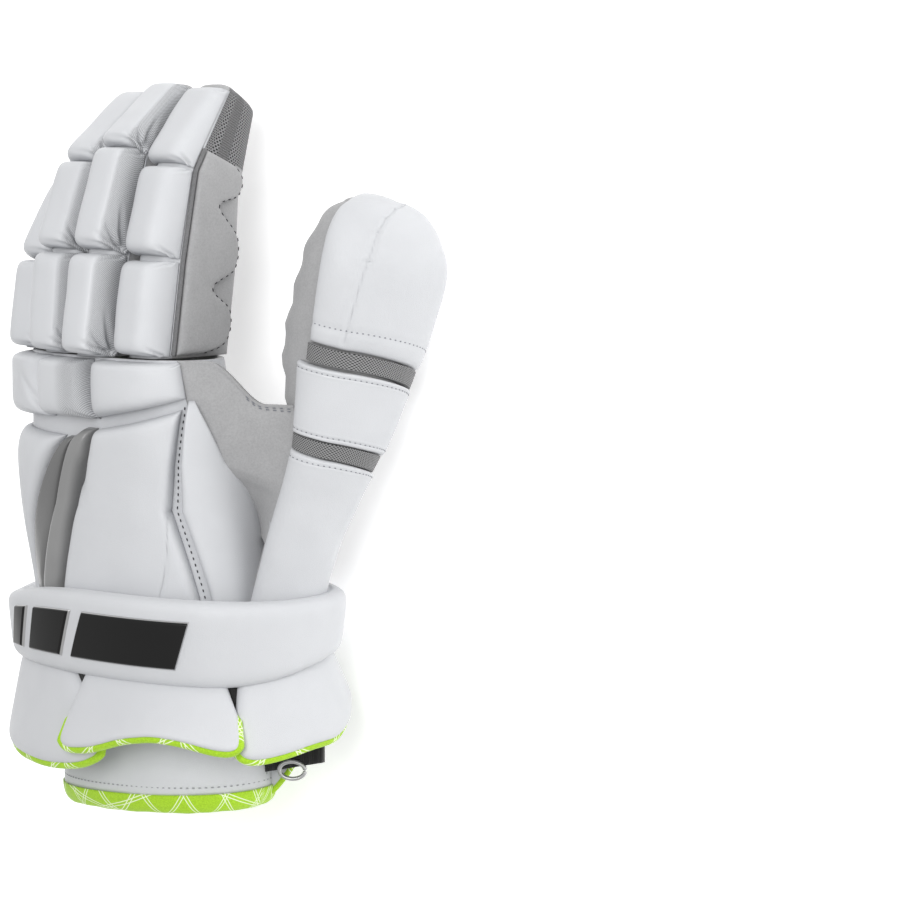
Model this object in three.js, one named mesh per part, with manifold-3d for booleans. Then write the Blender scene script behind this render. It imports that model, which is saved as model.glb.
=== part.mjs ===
// A padded lacrosse glove for the left hand, lying palm down.
// Millimetres. +X points to the thumb side, +Y to the fingertips, +Z up from the surface that the glove rests on.
// The origin is on that surface, under the middle of the glove.
import * as THREE from "three";
import { mergeVertices } from "three/addons/utils/BufferGeometryUtils.js";
import Module from "manifold-3d";

const wasm = await Module();
wasm.setup();

// Driving sizes.
const GAP = 0.5; // air between neighbouring pieces
const WALL = 2.2; // suede and lining of the hand and the sleeves
const FINGER_PITCH = 27; // from one finger to the next
const FINGER_DEPTH = 50; // of a finger sleeve from its back to its palm side
const FINGER_PAD = 12; // foam over the fingers
const FINGER_LENGTH = 124; // knuckle to fingertip, the longest finger, along its bends
const HAND_LENGTH = 160; // wrist end of the hand to the knuckles
const HAND_WIDTH = 108; // across the hand without its pads
const HAND_DEPTH = 62; // back to palm, without pads
const HAND_PAD = 12; // foam over the back of the hand
const KNUCKLE_HEIGHT = 74; // middle of the longest finger's root above the surface
const THUMB_LENGTH = 190; // thumb root to thumb tip
const THUMB_WIDTH = 62; // across the thumb sleeve at its widest
const THUMB_HEIGHT = 30; // middle of the thumb above the surface
const THUMB_PAD = 5; // foam over the thumb
const PANEL = 2; // flat overlays of suede
const CUFF_WIDTH = 176; // across the cuff strap
const CUFF_DEPTH = 108; // from the back of the cuff strap to its palm side
const STRAP_HEIGHT = 40; // of the cuff strap, along the arm
const STRAP_THICKNESS = 15;
const PLATE_LENGTH = 30; // of the flared cuff plates
const PLATE_THICKNESS = 9;
const GUARD_LENGTH = 38; // of the wrist guard below the hand
const GUARD_THICKNESS = 6;
const LINING_ROLL = 9; // of the lining's padded edge
const ELASTIC_THICKNESS = 2.4; // of the band at the wrist

// Where the hand lies.
const HAND_X = -31; // line between the two middle fingers
const KNUCKLE_Y = 43;
const WRIST_Y = KNUCKLE_Y - HAND_LENGTH;
const CUFF_X = -16;
const CUFF_Z = CUFF_DEPTH / 2 - 2; // its palm side is flattened by this much
const STRAP_TOP = -62;

const RAD = Math.PI / 180;
const SIDE_SKIN = 1.7; // room beside a finger sleeve for its pad

const mix = (a, b, s) => a + (b - a) * s;
const clamp = (value, low, high) => Math.min(Math.max(value, low), high);
const signedPower = (value, power) => Math.sign(value) * Math.abs(value) ** power;

// A point of a rounded section: half-width, height above and depth below its middle.
// The power is 2 for an ellipse, and more is boxier.
function sectionPoint(degrees, half, above, below, power) {
  const c = Math.cos(degrees * RAD);
  const s = Math.sin(degrees * RAD);
  const depth = s > 0 ? above : below;
  return [half * signedPower(c, 2 / power), depth * signedPower(s, 2 / power)];
}

// A tube through sections. Each section has a middle, a tilt about Y, a lean about X, and two closed
// curves: skin, which is the sleeve, and shell, which is as far out as its pads may reach.
class Tube {
  constructor(sections, power, smooth) {
    this.sections = sections;
    this.power = power;
    this.smooth = smooth;
    this.last = sections.length - 1;
  }

  onSection(index, degrees, curve, inset) {
    const { middle, tilt, lean, ...curves } = this.sections[clamp(index, 0, this.last)];
    const [half, above, below] = curves[curve].map((size) => size - inset);
    const [across, up] = sectionPoint(degrees, half, above, below, this.power);
    const local = new THREE.Vector3(across, 0, up);
    local.applyAxisAngle(new THREE.Vector3(0, 1, 0), tilt * RAD);
    local.applyAxisAngle(new THREE.Vector3(1, 0, 0), -lean * RAD);
    return local.add(middle);
  }

  curvePoint(t, degrees, curve, inset = 0) {
    const k = clamp(Math.floor(t), 0, this.last - 1);
    const s = t - k;
    const near = [-1, 0, 1, 2].map((step) => this.onSection(k + step, degrees, curve, inset));
    if (!this.smooth) return near[1].lerp(near[2], s);
    const weights = [
      ((2 - s) * s - 1) * s * 0.5,
      ((3 * s - 5) * s * s + 2) * 0.5,
      ((4 - 3 * s) * s + 1) * s * 0.5,
      (s - 1) * s * s * 0.5,
    ];
    return near.reduce((sum, p, i) => sum.addScaledVector(p, weights[i]), new THREE.Vector3());
  }

  // A point of the sleeve, pushed in by inset and never below the surface.
  skin(t, degrees, inset = 0) {
    const p = this.curvePoint(t, degrees, "skin", inset);
    p.z = Math.max(p.z, inset);
    return p;
  }

  // A point outside the skin: share 0 is on the skin and 1 on the shell, but never nearer than least.
  over(t, degrees, share, least) {
    const inner = this.curvePoint(t, degrees, "skin");
    const outer = this.curvePoint(t, degrees, "shell");
    const room = Math.max(inner.distanceTo(outer), 1e-6);
    const p = inner.lerp(outer, Math.max(share, least / room));
    p.z = Math.max(p.z, 0);
    return p;
  }
}

// Faces of a grid of points, rows by columns, as triangles.
function gridFaces(rows, columns, first, flip, wrap = false) {
  const faces = [];
  const across = wrap ? columns : columns - 1;
  for (let r = 0; r < rows - 1; r += 1) {
    for (let c = 0; c < across; c += 1) {
      const a = first + r * columns + c;
      const b = first + r * columns + ((c + 1) % columns);
      const d = a + columns;
      const e = b + columns;
      faces.push(...(flip ? [a, d, b, b, d, e] : [a, b, d, b, e, d]));
    }
  }
  return faces;
}

// Geometry from points and faces, turned so that its faces point out.
function solid(points, faces) {
  let volume = 0;
  for (let i = 0; i < faces.length; i += 3) {
    const [a, b, c] = [points[faces[i]], points[faces[i + 1]], points[faces[i + 2]]];
    volume += a.dot(new THREE.Vector3().crossVectors(b, c));
  }
  if (volume < 0) faces.reverse();
  const geometry = new THREE.BufferGeometry();
  geometry.setAttribute("position", new THREE.Float32BufferAttribute(points.flatMap((p) => p.toArray()), 3));
  geometry.setIndex(faces);
  return geometry;
}

// A closed slab between two grids of points of the same size.
function slab(outer, inner, rows, columns) {
  const points = [...outer, ...inner];
  const half = rows * columns;
  const faces = [...gridFaces(rows, columns, 0, false), ...gridFaces(rows, columns, half, true)];
  const rim = [];
  for (let c = 0; c < columns; c += 1) rim.push(c);
  for (let r = 1; r < rows; r += 1) rim.push(r * columns + columns - 1);
  for (let c = columns - 2; c >= 0; c -= 1) rim.push((rows - 1) * columns + c);
  for (let r = rows - 2; r > 0; r -= 1) rim.push(r * columns);
  rim.forEach((a, i) => {
    const b = rim[(i + 1) % rim.length];
    faces.push(a, a + half, b, b, a + half, b + half);
  });
  return solid(points, faces);
}

// A closed slab whose points come from a function of the shares along and across it and of the layer,
// 1 for the outside and 0 for the inside.
function slabFrom(pointAt, rows, columns) {
  const layer = (side) => {
    const points = [];
    for (let r = 0; r < rows; r += 1) {
      for (let c = 0; c < columns; c += 1) points.push(pointAt(r / (rows - 1), c / (columns - 1), side));
    }
    return points;
  };
  return slab(layer(1), layer(0), rows, columns);
}

// How full a pad is at a share of its length: 1 in the middle, rim at the ends.
const crown = (share, rim, sharpness) => mix(1, rim, Math.abs(2 * share - 1) ** sharpness);

const PAD_STEP = 9.5; // degrees between the points across a pad

// A pad on a tube. Its lines run across it: each goes from (at, from) to (end ?? at, to), a place along
// the tube and an angle round it. height is the share of the room between skin and shell that it fills.
function pad(tube, lines, options = {}) {
  const { height = 1, rim = 0.55, sharpness = 5, rows = 5, least = 1.5, lift = GAP } = options;
  const turn = Math.max(...lines.map(({ from, to }) => Math.abs(to - from)));
  const columns = options.columns ?? Math.max(5, Math.ceil(turn / PAD_STEP) + 1);
  const pointAt = (down, across, side) => {
    const place = down * (lines.length - 1);
    const k = clamp(Math.floor(place), 0, lines.length - 2);
    const s = place - k;
    const [a, b] = [lines[k], lines[k + 1]];
    const along = mix(mix(a.at, a.end ?? a.at, across), mix(b.at, b.end ?? b.at, across), s);
    const degrees = mix(mix(a.from, a.to, across), mix(b.from, b.to, across), s);
    const full = crown(down, rim, sharpness) * crown(across, rim, sharpness);
    return tube.over(along, degrees, side * height * full, lift + side * least);
  };
  return slabFrom(pointAt, rows, columns);
}

// Points round a tube.
function ring(count, pointAt) {
  return Array.from({ length: count }, (_, i) => pointAt((360 * i) / count));
}

// A sleeve: a tube with a wall, open at its root and closed by a dome at its tip.
function sleeve(tube, { steps, sides, dome, start = 0 }) {
  const places = Array.from({ length: steps + 1 }, (_, i) => mix(start, tube.last, i / steps));
  const domeAngles = [35, 65];
  const layer = (inset) => {
    const rings = places.map((t) => ring(sides, (degrees) => tube.skin(t, degrees, inset)));
    const end = tube.sections[tube.last];
    const reach = end.skin[0] * dome;
    const heading = new THREE.Vector3(0, 1, 0).applyAxisAngle(new THREE.Vector3(1, 0, 0), -end.lean * RAD);
    const lastRing = rings[rings.length - 1];
    const domePoint = (p, angle) => {
      const q = end.middle.clone().lerp(p, Math.cos(angle * RAD));
      q.addScaledVector(heading, (reach - inset) * Math.sin(angle * RAD));
      q.z = Math.max(q.z, inset);
      return q;
    };
    domeAngles.forEach((angle) => rings.push(lastRing.map((p) => domePoint(p, angle))));
    return { rings, pole: domePoint(lastRing[0], 90) };
  };
  const outer = layer(0);
  const inner = layer(WALL);
  const count = outer.rings.length;
  const points = [...outer.rings.flat(), ...inner.rings.flat(), outer.pole, inner.pole];
  const half = count * sides;
  const faces = [...gridFaces(count, sides, 0, false, true), ...gridFaces(count, sides, half, true, true)];
  const tip = (count - 1) * sides;
  for (let i = 0; i < sides; i += 1) {
    const j = (i + 1) % sides;
    faces.push(tip + i, tip + j, 2 * half, half + tip + j, half + tip + i, 2 * half + 1);
    faces.push(j, i, half + i, j, half + i, half + j);
  }
  return solid(points, faces);
}

// A tube with a wall, open at both ends. layer(share, degrees, side) gives its points, side 1 outside.
function openTube(layer, steps, sides) {
  const rings = (side) =>
    Array.from({ length: steps + 1 }, (_, i) => ring(sides, (degrees) => layer(i / steps, degrees, side)));
  const points = [...rings(1).flat(), ...rings(0).flat()];
  const half = (steps + 1) * sides;
  const faces = [...gridFaces(steps + 1, sides, 0, false, true), ...gridFaces(steps + 1, sides, half, true, true)];
  const last = steps * sides;
  for (let i = 0; i < sides; i += 1) {
    const j = (i + 1) % sides;
    faces.push(j, i, half + i, j, half + i, half + j);
    faces.push(last + i, last + j, half + last + i, last + j, half + last + j, half + last + i);
  }
  return solid(points, faces);
}

// A closed body that fills a tube out to one of its curves, grown by more. It only cuts other pieces.
function filled(tube, curve, more, { sides, steps }) {
  const points = [];
  for (let i = 0; i <= steps; i += 1) {
    points.push(...ring(sides, (degrees) => tube.curvePoint((i / steps) * tube.last, degrees, curve, -more)));
  }
  const faces = gridFaces(steps + 1, sides, 0, false, true);
  const last = steps * sides;
  for (let i = 1; i < sides - 1; i += 1) {
    faces.push(0, i + 1, i, last, last + i, last + i + 1);
  }
  return solid(points, faces);
}

function toManifold(geometry) {
  const plain = new THREE.BufferGeometry();
  plain.setAttribute("position", geometry.getAttribute("position"));
  if (geometry.index) plain.setIndex(geometry.index);
  const merged = mergeVertices(plain, 1e-4);
  return new wasm.Manifold(
    new wasm.Mesh({
      numProp: 3,
      vertProperties: merged.attributes.position.array,
      triVerts: new Uint32Array(merged.index.array),
    }),
  );
}

// A geometry with the cutters taken out of it. Only its largest body stays.
function cut(geometry, ...cutters) {
  const rest = cutters.reduce((body, cutter) => body.subtract(toManifold(cutter)), toManifold(geometry));
  const bodies = rest.decompose().sort((a, b) => b.volume() - a.volume());
  const mesh = bodies[0].getMesh();
  const result = new THREE.BufferGeometry();
  result.setAttribute("position", new THREE.Float32BufferAttribute(mesh.vertProperties, 3));
  result.setIndex(new THREE.BufferAttribute(mesh.triVerts, 1));
  return result;
}

// Finishes.
const finish = (color, roughness, metalness = 0) => new THREE.MeshStandardMaterial({ color, roughness, metalness });
const FINISH = {
  white: finish(0xdfe1e4, 0.5),
  suede: finish(0xa9a9aa, 0.95),
  mesh: finish(0x6f6f71, 0.9),
  gloss: finish(0x77797c, 0.3),
  black: finish(0x1b1c1e, 0.35),
  lining: finish(0x9ccc1f, 0.85),
  elastic: finish(0x101011, 0.9),
};

const glove = new THREE.Group();

function add(name, geometry, material) {
  const piece = new THREE.Mesh(geometry, material);
  piece.name = name;
  glove.add(piece);
}

const section = (x, y, z, tilt, lean, skin, shell) => ({
  middle: new THREE.Vector3(HAND_X + x, y, z),
  tilt,
  lean,
  skin,
  shell,
});

// The hand, from the wrist to the knuckles: at is a share of HAND_LENGTH, x and half of HAND_WIDTH,
// z of KNUCKLE_HEIGHT, above and below of HAND_DEPTH, and pads of HAND_PAD. tilt is in degrees.
const HAND_ROWS = [
  { at: 0.0, x: 0.12, z: 0.72, half: 0.5, above: 0.52, below: 0.5, pads: 0.6, tilt: 4 },
  { at: 0.3, x: 0.06, z: 0.74, half: 0.53, above: 0.52, below: 0.5, pads: 0.8, tilt: 4 },
  { at: 0.6, x: 0.01, z: 0.81, half: 0.52, above: 0.48, below: 0.5, pads: 1.0, tilt: 2 },
  { at: 0.85, x: -0.015, z: 0.86, half: 0.52, above: 0.44, below: 0.48, pads: 1.1, tilt: -5 },
  { at: 1.0, x: -0.035, z: 0.87, half: 0.52, above: 0.42, below: 0.46, pads: 1.1, tilt: -8 },
];
const SIDE_PADS = 0.45; // thickness of the hand's pads at its sides, as a share of that at its back
const hand = new Tube(
  HAND_ROWS.map((row) => {
    const skin = [row.half * HAND_WIDTH, row.above * HAND_DEPTH, row.below * HAND_DEPTH];
    const room = row.pads * HAND_PAD;
    const shell = [skin[0] + SIDE_PADS * room, skin[1] + room, skin[2] + PANEL];
    const y = WRIST_Y + row.at * HAND_LENGTH;
    return section(row.x * HAND_WIDTH, y, row.z * KNUCKLE_HEIGHT, row.tilt, 0, skin, shell);
  }),
  2.6,
  true,
);

// A place on the hand, given as a share of its length, as a place on its tube.
function handAt(share) {
  const above = HAND_ROWS.findIndex((row) => row.at > share);
  const i = (above < 0 ? HAND_ROWS.length - 1 : above) - 1;
  return i + (share - HAND_ROWS[i].at) / (HAND_ROWS[i + 1].at - HAND_ROWS[i].at);
}

const PAD_LIFT = 0.8; // of the pads over the palm and the thumb, whose corners are tight
const onHand = (lines) =>
  lines.map((line) => ({ ...line, at: handAt(line.at), end: handAt(line.end ?? line.at) }));

// Pads of the back of the hand. Their lines are shares of the hand's length and degrees round it, 0 at the
// thumb side and 90 at the back. height is a share of the room for pads.
const BACK_PADS = [
  {
    name: "back_plate",
    material: "white",
    height: 0.9,
    lines: [
      { at: 0.1, from: 38, to: 112 },
      { at: 0.33, from: 42, to: 108 },
      { at: 0.575, from: 50, to: 93 },
      { at: 0.7, from: 41, to: 88 },
      { at: 0.86, end: 0.79, from: 25, to: 83 },
    ],
  },
  {
    name: "thumb_side_panel",
    material: "white",
    height: 1,
    lines: [
      { at: 0.12, from: -34, to: 30 },
      { at: 0.345, from: -32, to: 34 },
      { at: 0.575, from: -26, to: 42 },
      { at: 0.7, from: -8, to: 35 },
      { at: 0.88, from: 10, to: 18 },
    ],
  },
  {
    name: "inlay_ridge",
    material: "gloss",
    height: 0.8,
    lines: [
      { at: 0.14, from: 115, to: 131 },
      { at: 0.33, from: 111, to: 127 },
      { at: 0.575, from: 95.5, to: 104 },
      { at: 0.79, from: 85, to: 89 },
    ],
  },
  {
    name: "inlay_blade",
    material: "gloss",
    height: 0.55,
    lines: [
      { at: 0.14, from: 134, to: 148 },
      { at: 0.35, from: 129, to: 147 },
      { at: 0.5, from: 112, to: 133 },
      { at: 0.76, from: 93, to: 96 },
    ],
  },
  {
    name: "back_outer_pad",
    material: "white",
    height: 0.85,
    lines: [
      { at: 0.12, from: 150, to: 196 },
      { at: 0.35, from: 149, to: 196 },
      { at: 0.5, from: 135.5, to: 196 },
      { at: 0.76, end: 0.78, from: 99, to: 196 },
    ],
  },
];
for (const { name, material, height, lines } of BACK_PADS) {
  add(name, pad(hand, onHand(lines), { height, rows: 7, rim: 0.6, lift: PAD_LIFT }), FINISH[material]);
}

// Knuckle pads, between the back of the hand and the fingers.
const KNUCKLES = [
  { name: "index", root: [0.885, 0.825], from: 20, to: 79 },
  { name: "middle", root: [0.82, 0.82], from: 83, to: 102 },
  { name: "ring", root: [0.815, 0.8], from: 106, to: 190 },
];
for (const { name, root, from, to } of KNUCKLES) {
  const lines = onHand([
    { at: root[0], end: root[1], from, to: to + 4 },
    { at: 0.99, from, to },
  ]);
  add(`${name}_knuckle_pad`, pad(hand, lines, { rim: 0.6, sharpness: 4, lift: PAD_LIFT }), FINISH.white);
}

// The fingers. slot counts finger pitches from the middle of the hand, drop is below the longest finger
// as a share of KNUCKLE_HEIGHT, lengths are the three bones as shares of FINGER_LENGTH, and the bends are
// degrees below straight ahead.
const FINGERS = [
  { name: "index", slot: 1.08, drop: 0.08, lengths: [0.339, 0.32, 0.335], bends: [8, 9, 28.6] },
  { name: "middle", slot: 0.08, drop: 0, lengths: [0.353, 0.354, 0.325], bends: [8, 12, 40.6] },
  { name: "ring", slot: -0.92, drop: 0.09, lengths: [0.352, 0.295, 0.367], bends: [4, 14, 41.2] },
  { name: "little", slot: -1.92, drop: 0.27, lengths: [0.287, 0.285, 0.308], bends: [7, 26, 43.4] },
];
// Sections at the knuckle, the two bends and the tip: half is a share of half a finger's pitch, above and
// below of FINGER_DEPTH, and pad of FINGER_PAD.
const FINGER_ROWS = [
  { half: 1, above: 0.42, below: 0.6, pad: 1 },
  { half: 1, above: 0.4, below: 0.6, pad: 1 },
  { half: 0.97, above: 0.32, below: 0.54, pad: 0.8 },
  { half: 0.88, above: 0.17, below: 0.36, pad: 0.5 },
];

function fingerTube(finger) {
  const z = KNUCKLE_HEIGHT * (1 - finger.drop);
  const middle = new THREE.Vector3(finger.slot * FINGER_PITCH, KNUCKLE_Y + GAP, z);
  const sections = FINGER_ROWS.map((row, i) => {
    if (i > 0) {
      const reach = finger.lengths[i - 1] * FINGER_LENGTH;
      const bend = finger.bends[i - 1] * RAD;
      middle.add(new THREE.Vector3(0, reach * Math.cos(bend), -reach * Math.sin(bend)));
    }
    const before = finger.bends[Math.max(i - 1, 0)];
    const after = finger.bends[Math.min(i, 2)];
    const half = (row.half * (FINGER_PITCH - GAP)) / 2;
    const skin = [half - SIDE_SKIN, row.above * FINGER_DEPTH, row.below * FINGER_DEPTH];
    const shell = [half, skin[1] + row.pad * FINGER_PAD, skin[2] + SIDE_SKIN];
    return section(middle.x, middle.y, middle.z, 0, i === 0 ? 0 : (before + after) / 2, skin, shell);
  });
  return new Tube(sections, 3.6, false);
}

const PAD_SEAM = 0.016; // of a finger segment, left open between pads
const PAD_EDGES = [25, 178]; // degrees round the finger
const fingerTubes = {};
for (const finger of FINGERS) {
  const tube = fingerTube(finger);
  fingerTubes[finger.name] = tube;
  add(`${finger.name}_sleeve`, sleeve(tube, { steps: 3, sides: 12, dome: 0.5 }), FINISH.suede);
  ["base", "middle", "tip"].forEach((part, i) => {
    const [from, to] = PAD_EDGES;
    const lines = [
      { at: i + PAD_SEAM, from, to },
      { at: i + 1 - PAD_SEAM, from, to },
    ];
    const geometry = pad(tube, lines, { columns: 9, rim: 0.72, sharpness: 7 });
    add(`${finger.name}_${part}_pad`, geometry, FINISH.white);
  });
}

// The stitched overlay on the thumb side of the index finger.
const INDEX_OVERLAY = [
  { at: 0.1, from: -28, to: 12 },
  { at: 1, from: -30, to: 8 },
  { at: 2, from: -30, to: 10 },
  { at: 2.15, from: -20, to: 8 },
];
add(
  "index_side_pad",
  pad(fingerTubes.index, INDEX_OVERLAY, { height: 0, least: PANEL, rim: 1, rows: 7, columns: 5 }),
  FINISH.suede,
);

// The thumb, from its root by the wrist to its tip: at is a share of THUMB_LENGTH, x of HAND_WIDTH from
// the hand's line, z of THUMB_HEIGHT, and half, above and below of THUMB_WIDTH.
const THUMB_ROOT_Y = -80;
const THUMB_TILT = 40;
const THUMB_ROWS = [
  { at: 0.0, x: 0.66, z: 1.5, half: 0.24, above: 0.25, below: 0.3 },
  { at: 0.15, x: 0.72, z: 1.42, half: 0.23, above: 0.27, below: 0.33 },
  { at: 0.3, x: 0.8, z: 1.3, half: 0.26, above: 0.3, below: 0.36 },
  { at: 0.45, x: 0.895, z: 1.18, half: 0.32, above: 0.32, below: 0.37 },
  { at: 0.65, x: 0.965, z: 1.06, half: 0.43, above: 0.33, below: 0.38 },
  { at: 0.84, x: 1.03, z: 1.0, half: 0.485, above: 0.34, below: 0.38 },
  { at: 0.93, x: 1.035, z: 0.98, half: 0.43, above: 0.31, below: 0.35 },
  { at: 0.98, x: 1.03, z: 0.97, half: 0.35, above: 0.25, below: 0.29 },
  { at: 1.01, x: 1.02, z: 0.96, half: 0.25, above: 0.18, below: 0.21 },
  { at: 1.025, x: 1.015, z: 0.96, half: 0.15, above: 0.11, below: 0.13 },
];
const thumb = new Tube(
  THUMB_ROWS.map((row) => {
    const skin = [row.half, row.above, row.below].map((share) => share * THUMB_WIDTH);
    const shell = skin.map((size) => size + THUMB_PAD + GAP);
    const y = THUMB_ROOT_Y + row.at * THUMB_LENGTH;
    return section(row.x * HAND_WIDTH, y, row.z * THUMB_HEIGHT, THUMB_TILT, 0, skin, shell);
  }),
  2.3,
  true,
);

function thumbAt(share) {
  const above = THUMB_ROWS.findIndex((row) => row.at > share);
  const i = (above < 0 ? THUMB_ROWS.length - 1 : above) - 1;
  return i + (share - THUMB_ROWS[i].at) / (THUMB_ROWS[i + 1].at - THUMB_ROWS[i].at);
}

const handBody = filled(hand, "shell", GAP, { steps: 12, sides: 24 });
const handSkin = filled(hand, "skin", GAP, { steps: 12, sides: 36 });
const SLEEVE_START = 0.2; // of the thumb's length
const thumbSleeve = sleeve(thumb, { steps: 17, sides: 14, dome: 0.25, start: thumbAt(SLEEVE_START) });
add("thumb_sleeve", cut(thumbSleeve, handBody), FINISH.suede);

const palmLayer = (share, degrees, side) => hand.skin(share * hand.last, degrees, (1 - side) * WALL);
const thumbHole = filled(thumb, "skin", -WALL, { steps: 18, sides: 14 });
add("palm", cut(openTube(palmLayer, 10, 36), thumbHole), FINISH.suede);

// Pieces sewn over the thumb. tip and root are the shares of the thumb's length where their two ends lie,
// at the outer side of the thumb and at the hand's side.
const THUMB_PIECES = [
  { name: "thumb_tip_cap", material: "white", tip: [1.015, 1.015], root: [0.608, 0.7], height: 1, rows: 9 },
  { name: "thumb_band_upper", material: "mesh", tip: [0.602, 0.694], root: [0.57, 0.662], height: 0.55, rows: 3 },
  { name: "thumb_mid_section", material: "white", tip: [0.564, 0.656], root: [0.416, 0.494], height: 0.95, rows: 5 },
  { name: "thumb_band_lower", material: "mesh", tip: [0.41, 0.488], root: [0.376, 0.456], height: 0.55, rows: 3 },
  { name: "thumb_base_section", material: "white", tip: [0.37, 0.45], root: [0.06, 0.06], height: 0.95, rows: 7 },
];
const THUMB_EDGES = [-25, 142]; // degrees round the thumb
for (const { name, material, tip, root, height, rows } of THUMB_PIECES) {
  const [from, to] = THUMB_EDGES;
  const lines = [tip, root].map(([at, end]) => ({ at: thumbAt(at), end: thumbAt(end), from, to }));
  const geometry = pad(thumb, lines, { height, rows, columns: 12, rim: 0.7, lift: PAD_LIFT });
  add(name, cut(geometry, handBody), FINISH[material]);
}

// The suede web between the index finger's root and the thumb: places on the hand and on the thumb.
const WEB_ROWS = [
  { hand: 0.575, degrees: -36, thumb: 0.3, round: 150 },
  { hand: 0.7, degrees: -17, thumb: 0.4, round: 149 },
  { hand: 0.8, degrees: -2, thumb: 0.47, round: 149 },
  { hand: 0.885, degrees: 5, thumb: 0.52, round: 149 },
  { hand: 0.995, degrees: 13, thumb: 0.57, round: 149 },
];
const WEB_SAG = 4;
const thumbBody = filled(thumb, "shell", GAP, { steps: 18, sides: 24 });
const thumbSkin = filled(thumb, "skin", GAP, { steps: 18, sides: 24 });
function webPoint(down, across, side) {
  const place = down * (WEB_ROWS.length - 1);
  const k = clamp(Math.floor(place), 0, WEB_ROWS.length - 2);
  const blend = (key) => mix(WEB_ROWS[k][key], WEB_ROWS[k + 1][key], place - k);
  const a = hand.curvePoint(handAt(blend("hand")), blend("degrees"), "skin");
  const b = thumb.curvePoint(thumbAt(blend("thumb")), blend("round"), "skin");
  const p = a.lerp(b, across);
  p.z -= (1 - side) * WALL + WEB_SAG * Math.sin(Math.PI * across);
  return p;
}
add("web_panel", cut(slabFrom(webPoint, 8, 6), handSkin, thumbSkin), FINISH.suede);

// The cuff. Its pieces lie on rings round one middle.
const CUFF_POWER = 2.2;
function cuffPoint(degrees, y, grow, floor) {
  const reach = CUFF_DEPTH / 2 + grow;
  const [x, z] = sectionPoint(degrees, CUFF_WIDTH / 2 + grow, reach, reach, CUFF_POWER);
  return new THREE.Vector3(CUFF_X + x, y, Math.max(CUFF_Z + z, floor));
}

// The strap narrows at the thumb side, and its top edge dips at the little finger's side.
const STRAP_NARROWS = 0.28;
const STRAP_DIP = 0.25;
const STRAP_BARREL = 2.5; // its edges are this much further in than its middle
const STRAP_FLARE = 3; // its top is this much further out than its lower edge
const STRAP_SOLE = 3; // thickness where it lies on the surface
const lobe = (degrees, middle, power) => Math.max(0, Math.cos((degrees - middle) * RAD)) ** power;
const strapTop = (degrees) => STRAP_TOP - STRAP_HEIGHT * STRAP_DIP * lobe(degrees, 160, 4);
const strapEnd = (degrees) => STRAP_TOP - STRAP_HEIGHT * (1 - STRAP_NARROWS * lobe(degrees, -25, 3));
function strapPoint(share, degrees, side) {
  const y = mix(strapTop(degrees), strapEnd(degrees), share);
  const outside = STRAP_FLARE * (1 - share) - STRAP_BARREL * (1 - crown(share, 0, 4));
  return cuffPoint(degrees, y, side ? outside : -STRAP_THICKNESS, side ? 0 : STRAP_SOLE);
}
add("cuff_strap", cut(openTube(strapPoint, 4, 34), handBody, thumbBody), FINISH.white);

// The raised bars on the strap: degrees round the cuff at their top edge, how far their lower edge is
// slanted from that, and shares of the strap's height.
const BARS = [
  { name: "cuff_bar_long", from: 56, to: 92, slant: 5, top: 0.22, bottom: 0.78 },
  { name: "cuff_bar_middle", from: 96, to: 113, slant: 5, top: 0.22, bottom: 0.78 },
  { name: "cuff_bar_short", from: 118, to: 127, slant: 6, top: 0.22, bottom: 0.78 },
];
const BAR_HEIGHT = 1.6;
for (const { name, from, to, slant, top, bottom } of BARS) {
  const barPoint = (down, across, side) => {
    const degrees = mix(from, to, across) + slant * down;
    const p = strapPoint(mix(top, bottom, down), degrees, 1);
    const out = new THREE.Vector3(p.x - CUFF_X, 0, p.z - CUFF_Z).normalize();
    return p.addScaledVector(out, GAP + side * BAR_HEIGHT);
  };
  add(name, slabFrom(barPoint, 4, 7), FINISH.black);
}

// The flared plates below the strap: degrees round the cuff, and the length of the lower edge at even
// steps across, as shares of PLATE_LENGTH.
const PLATES = [
  { name: "cuff_plate_right", from: -40, to: 37, edge: [0.7, 1.2, 1.36, 1.22, 1.2, 1.2] },
  { name: "cuff_plate_centre", from: 39, to: 99, edge: [0.95, 0.85, 0.77, 0.73, 0.8, 0.93, 1.03] },
  { name: "cuff_plate_left", from: 101, to: 196, edge: [1.15, 1.2, 1.15, 1.0, 0.6] },
];
const PLATE_FLARE = { top: -9, bottom: 4 }; // how far out of the strap's outline their middles are
for (const { name, from, to, edge } of PLATES) {
  const pointAt = (down, across, side) => {
    const degrees = mix(from, to, across);
    const place = across * (edge.length - 1);
    const k = clamp(Math.floor(place), 0, edge.length - 2);
    const length = PLATE_LENGTH * mix(edge[k], edge[k + 1], place - k);
    const full = crown(down, 0.6, 5) * crown(across, 0.6, 7);
    const grow = mix(PLATE_FLARE.top, PLATE_FLARE.bottom, down) + (side - 0.5) * PLATE_THICKNESS * full;
    return cuffPoint(degrees, strapEnd(degrees) - GAP - down * length, grow, 0);
  };
  add(name, slabFrom(pointAt, 5, 11), FINISH.white);
}

// The wrist guard carries on from the hand inside the plates, and its lining rolls over its end.
const GUARD_FLARE = 3;
const GUARD_FLOOR = 12; // its palm side stays this far above the surface
function guardPoint(down, degrees, depth) {
  const base = hand.sections[0];
  const [half, above, below] = base.skin.map((size) => size + GUARD_FLARE * down - depth);
  const [x, z] = sectionPoint(degrees, half, above, below, CUFF_POWER);
  const y = WRIST_Y - GAP - down * GUARD_LENGTH;
  return new THREE.Vector3(base.middle.x + x, y, Math.max(base.middle.z + z, GUARD_FLOOR + depth));
}
const guardLayer = (share, degrees, side) => guardPoint(share, degrees, (1 - side) * GUARD_THICKNESS);
add("wrist_guard", openTube(guardLayer, 3, 24), FINISH.white);

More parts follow.
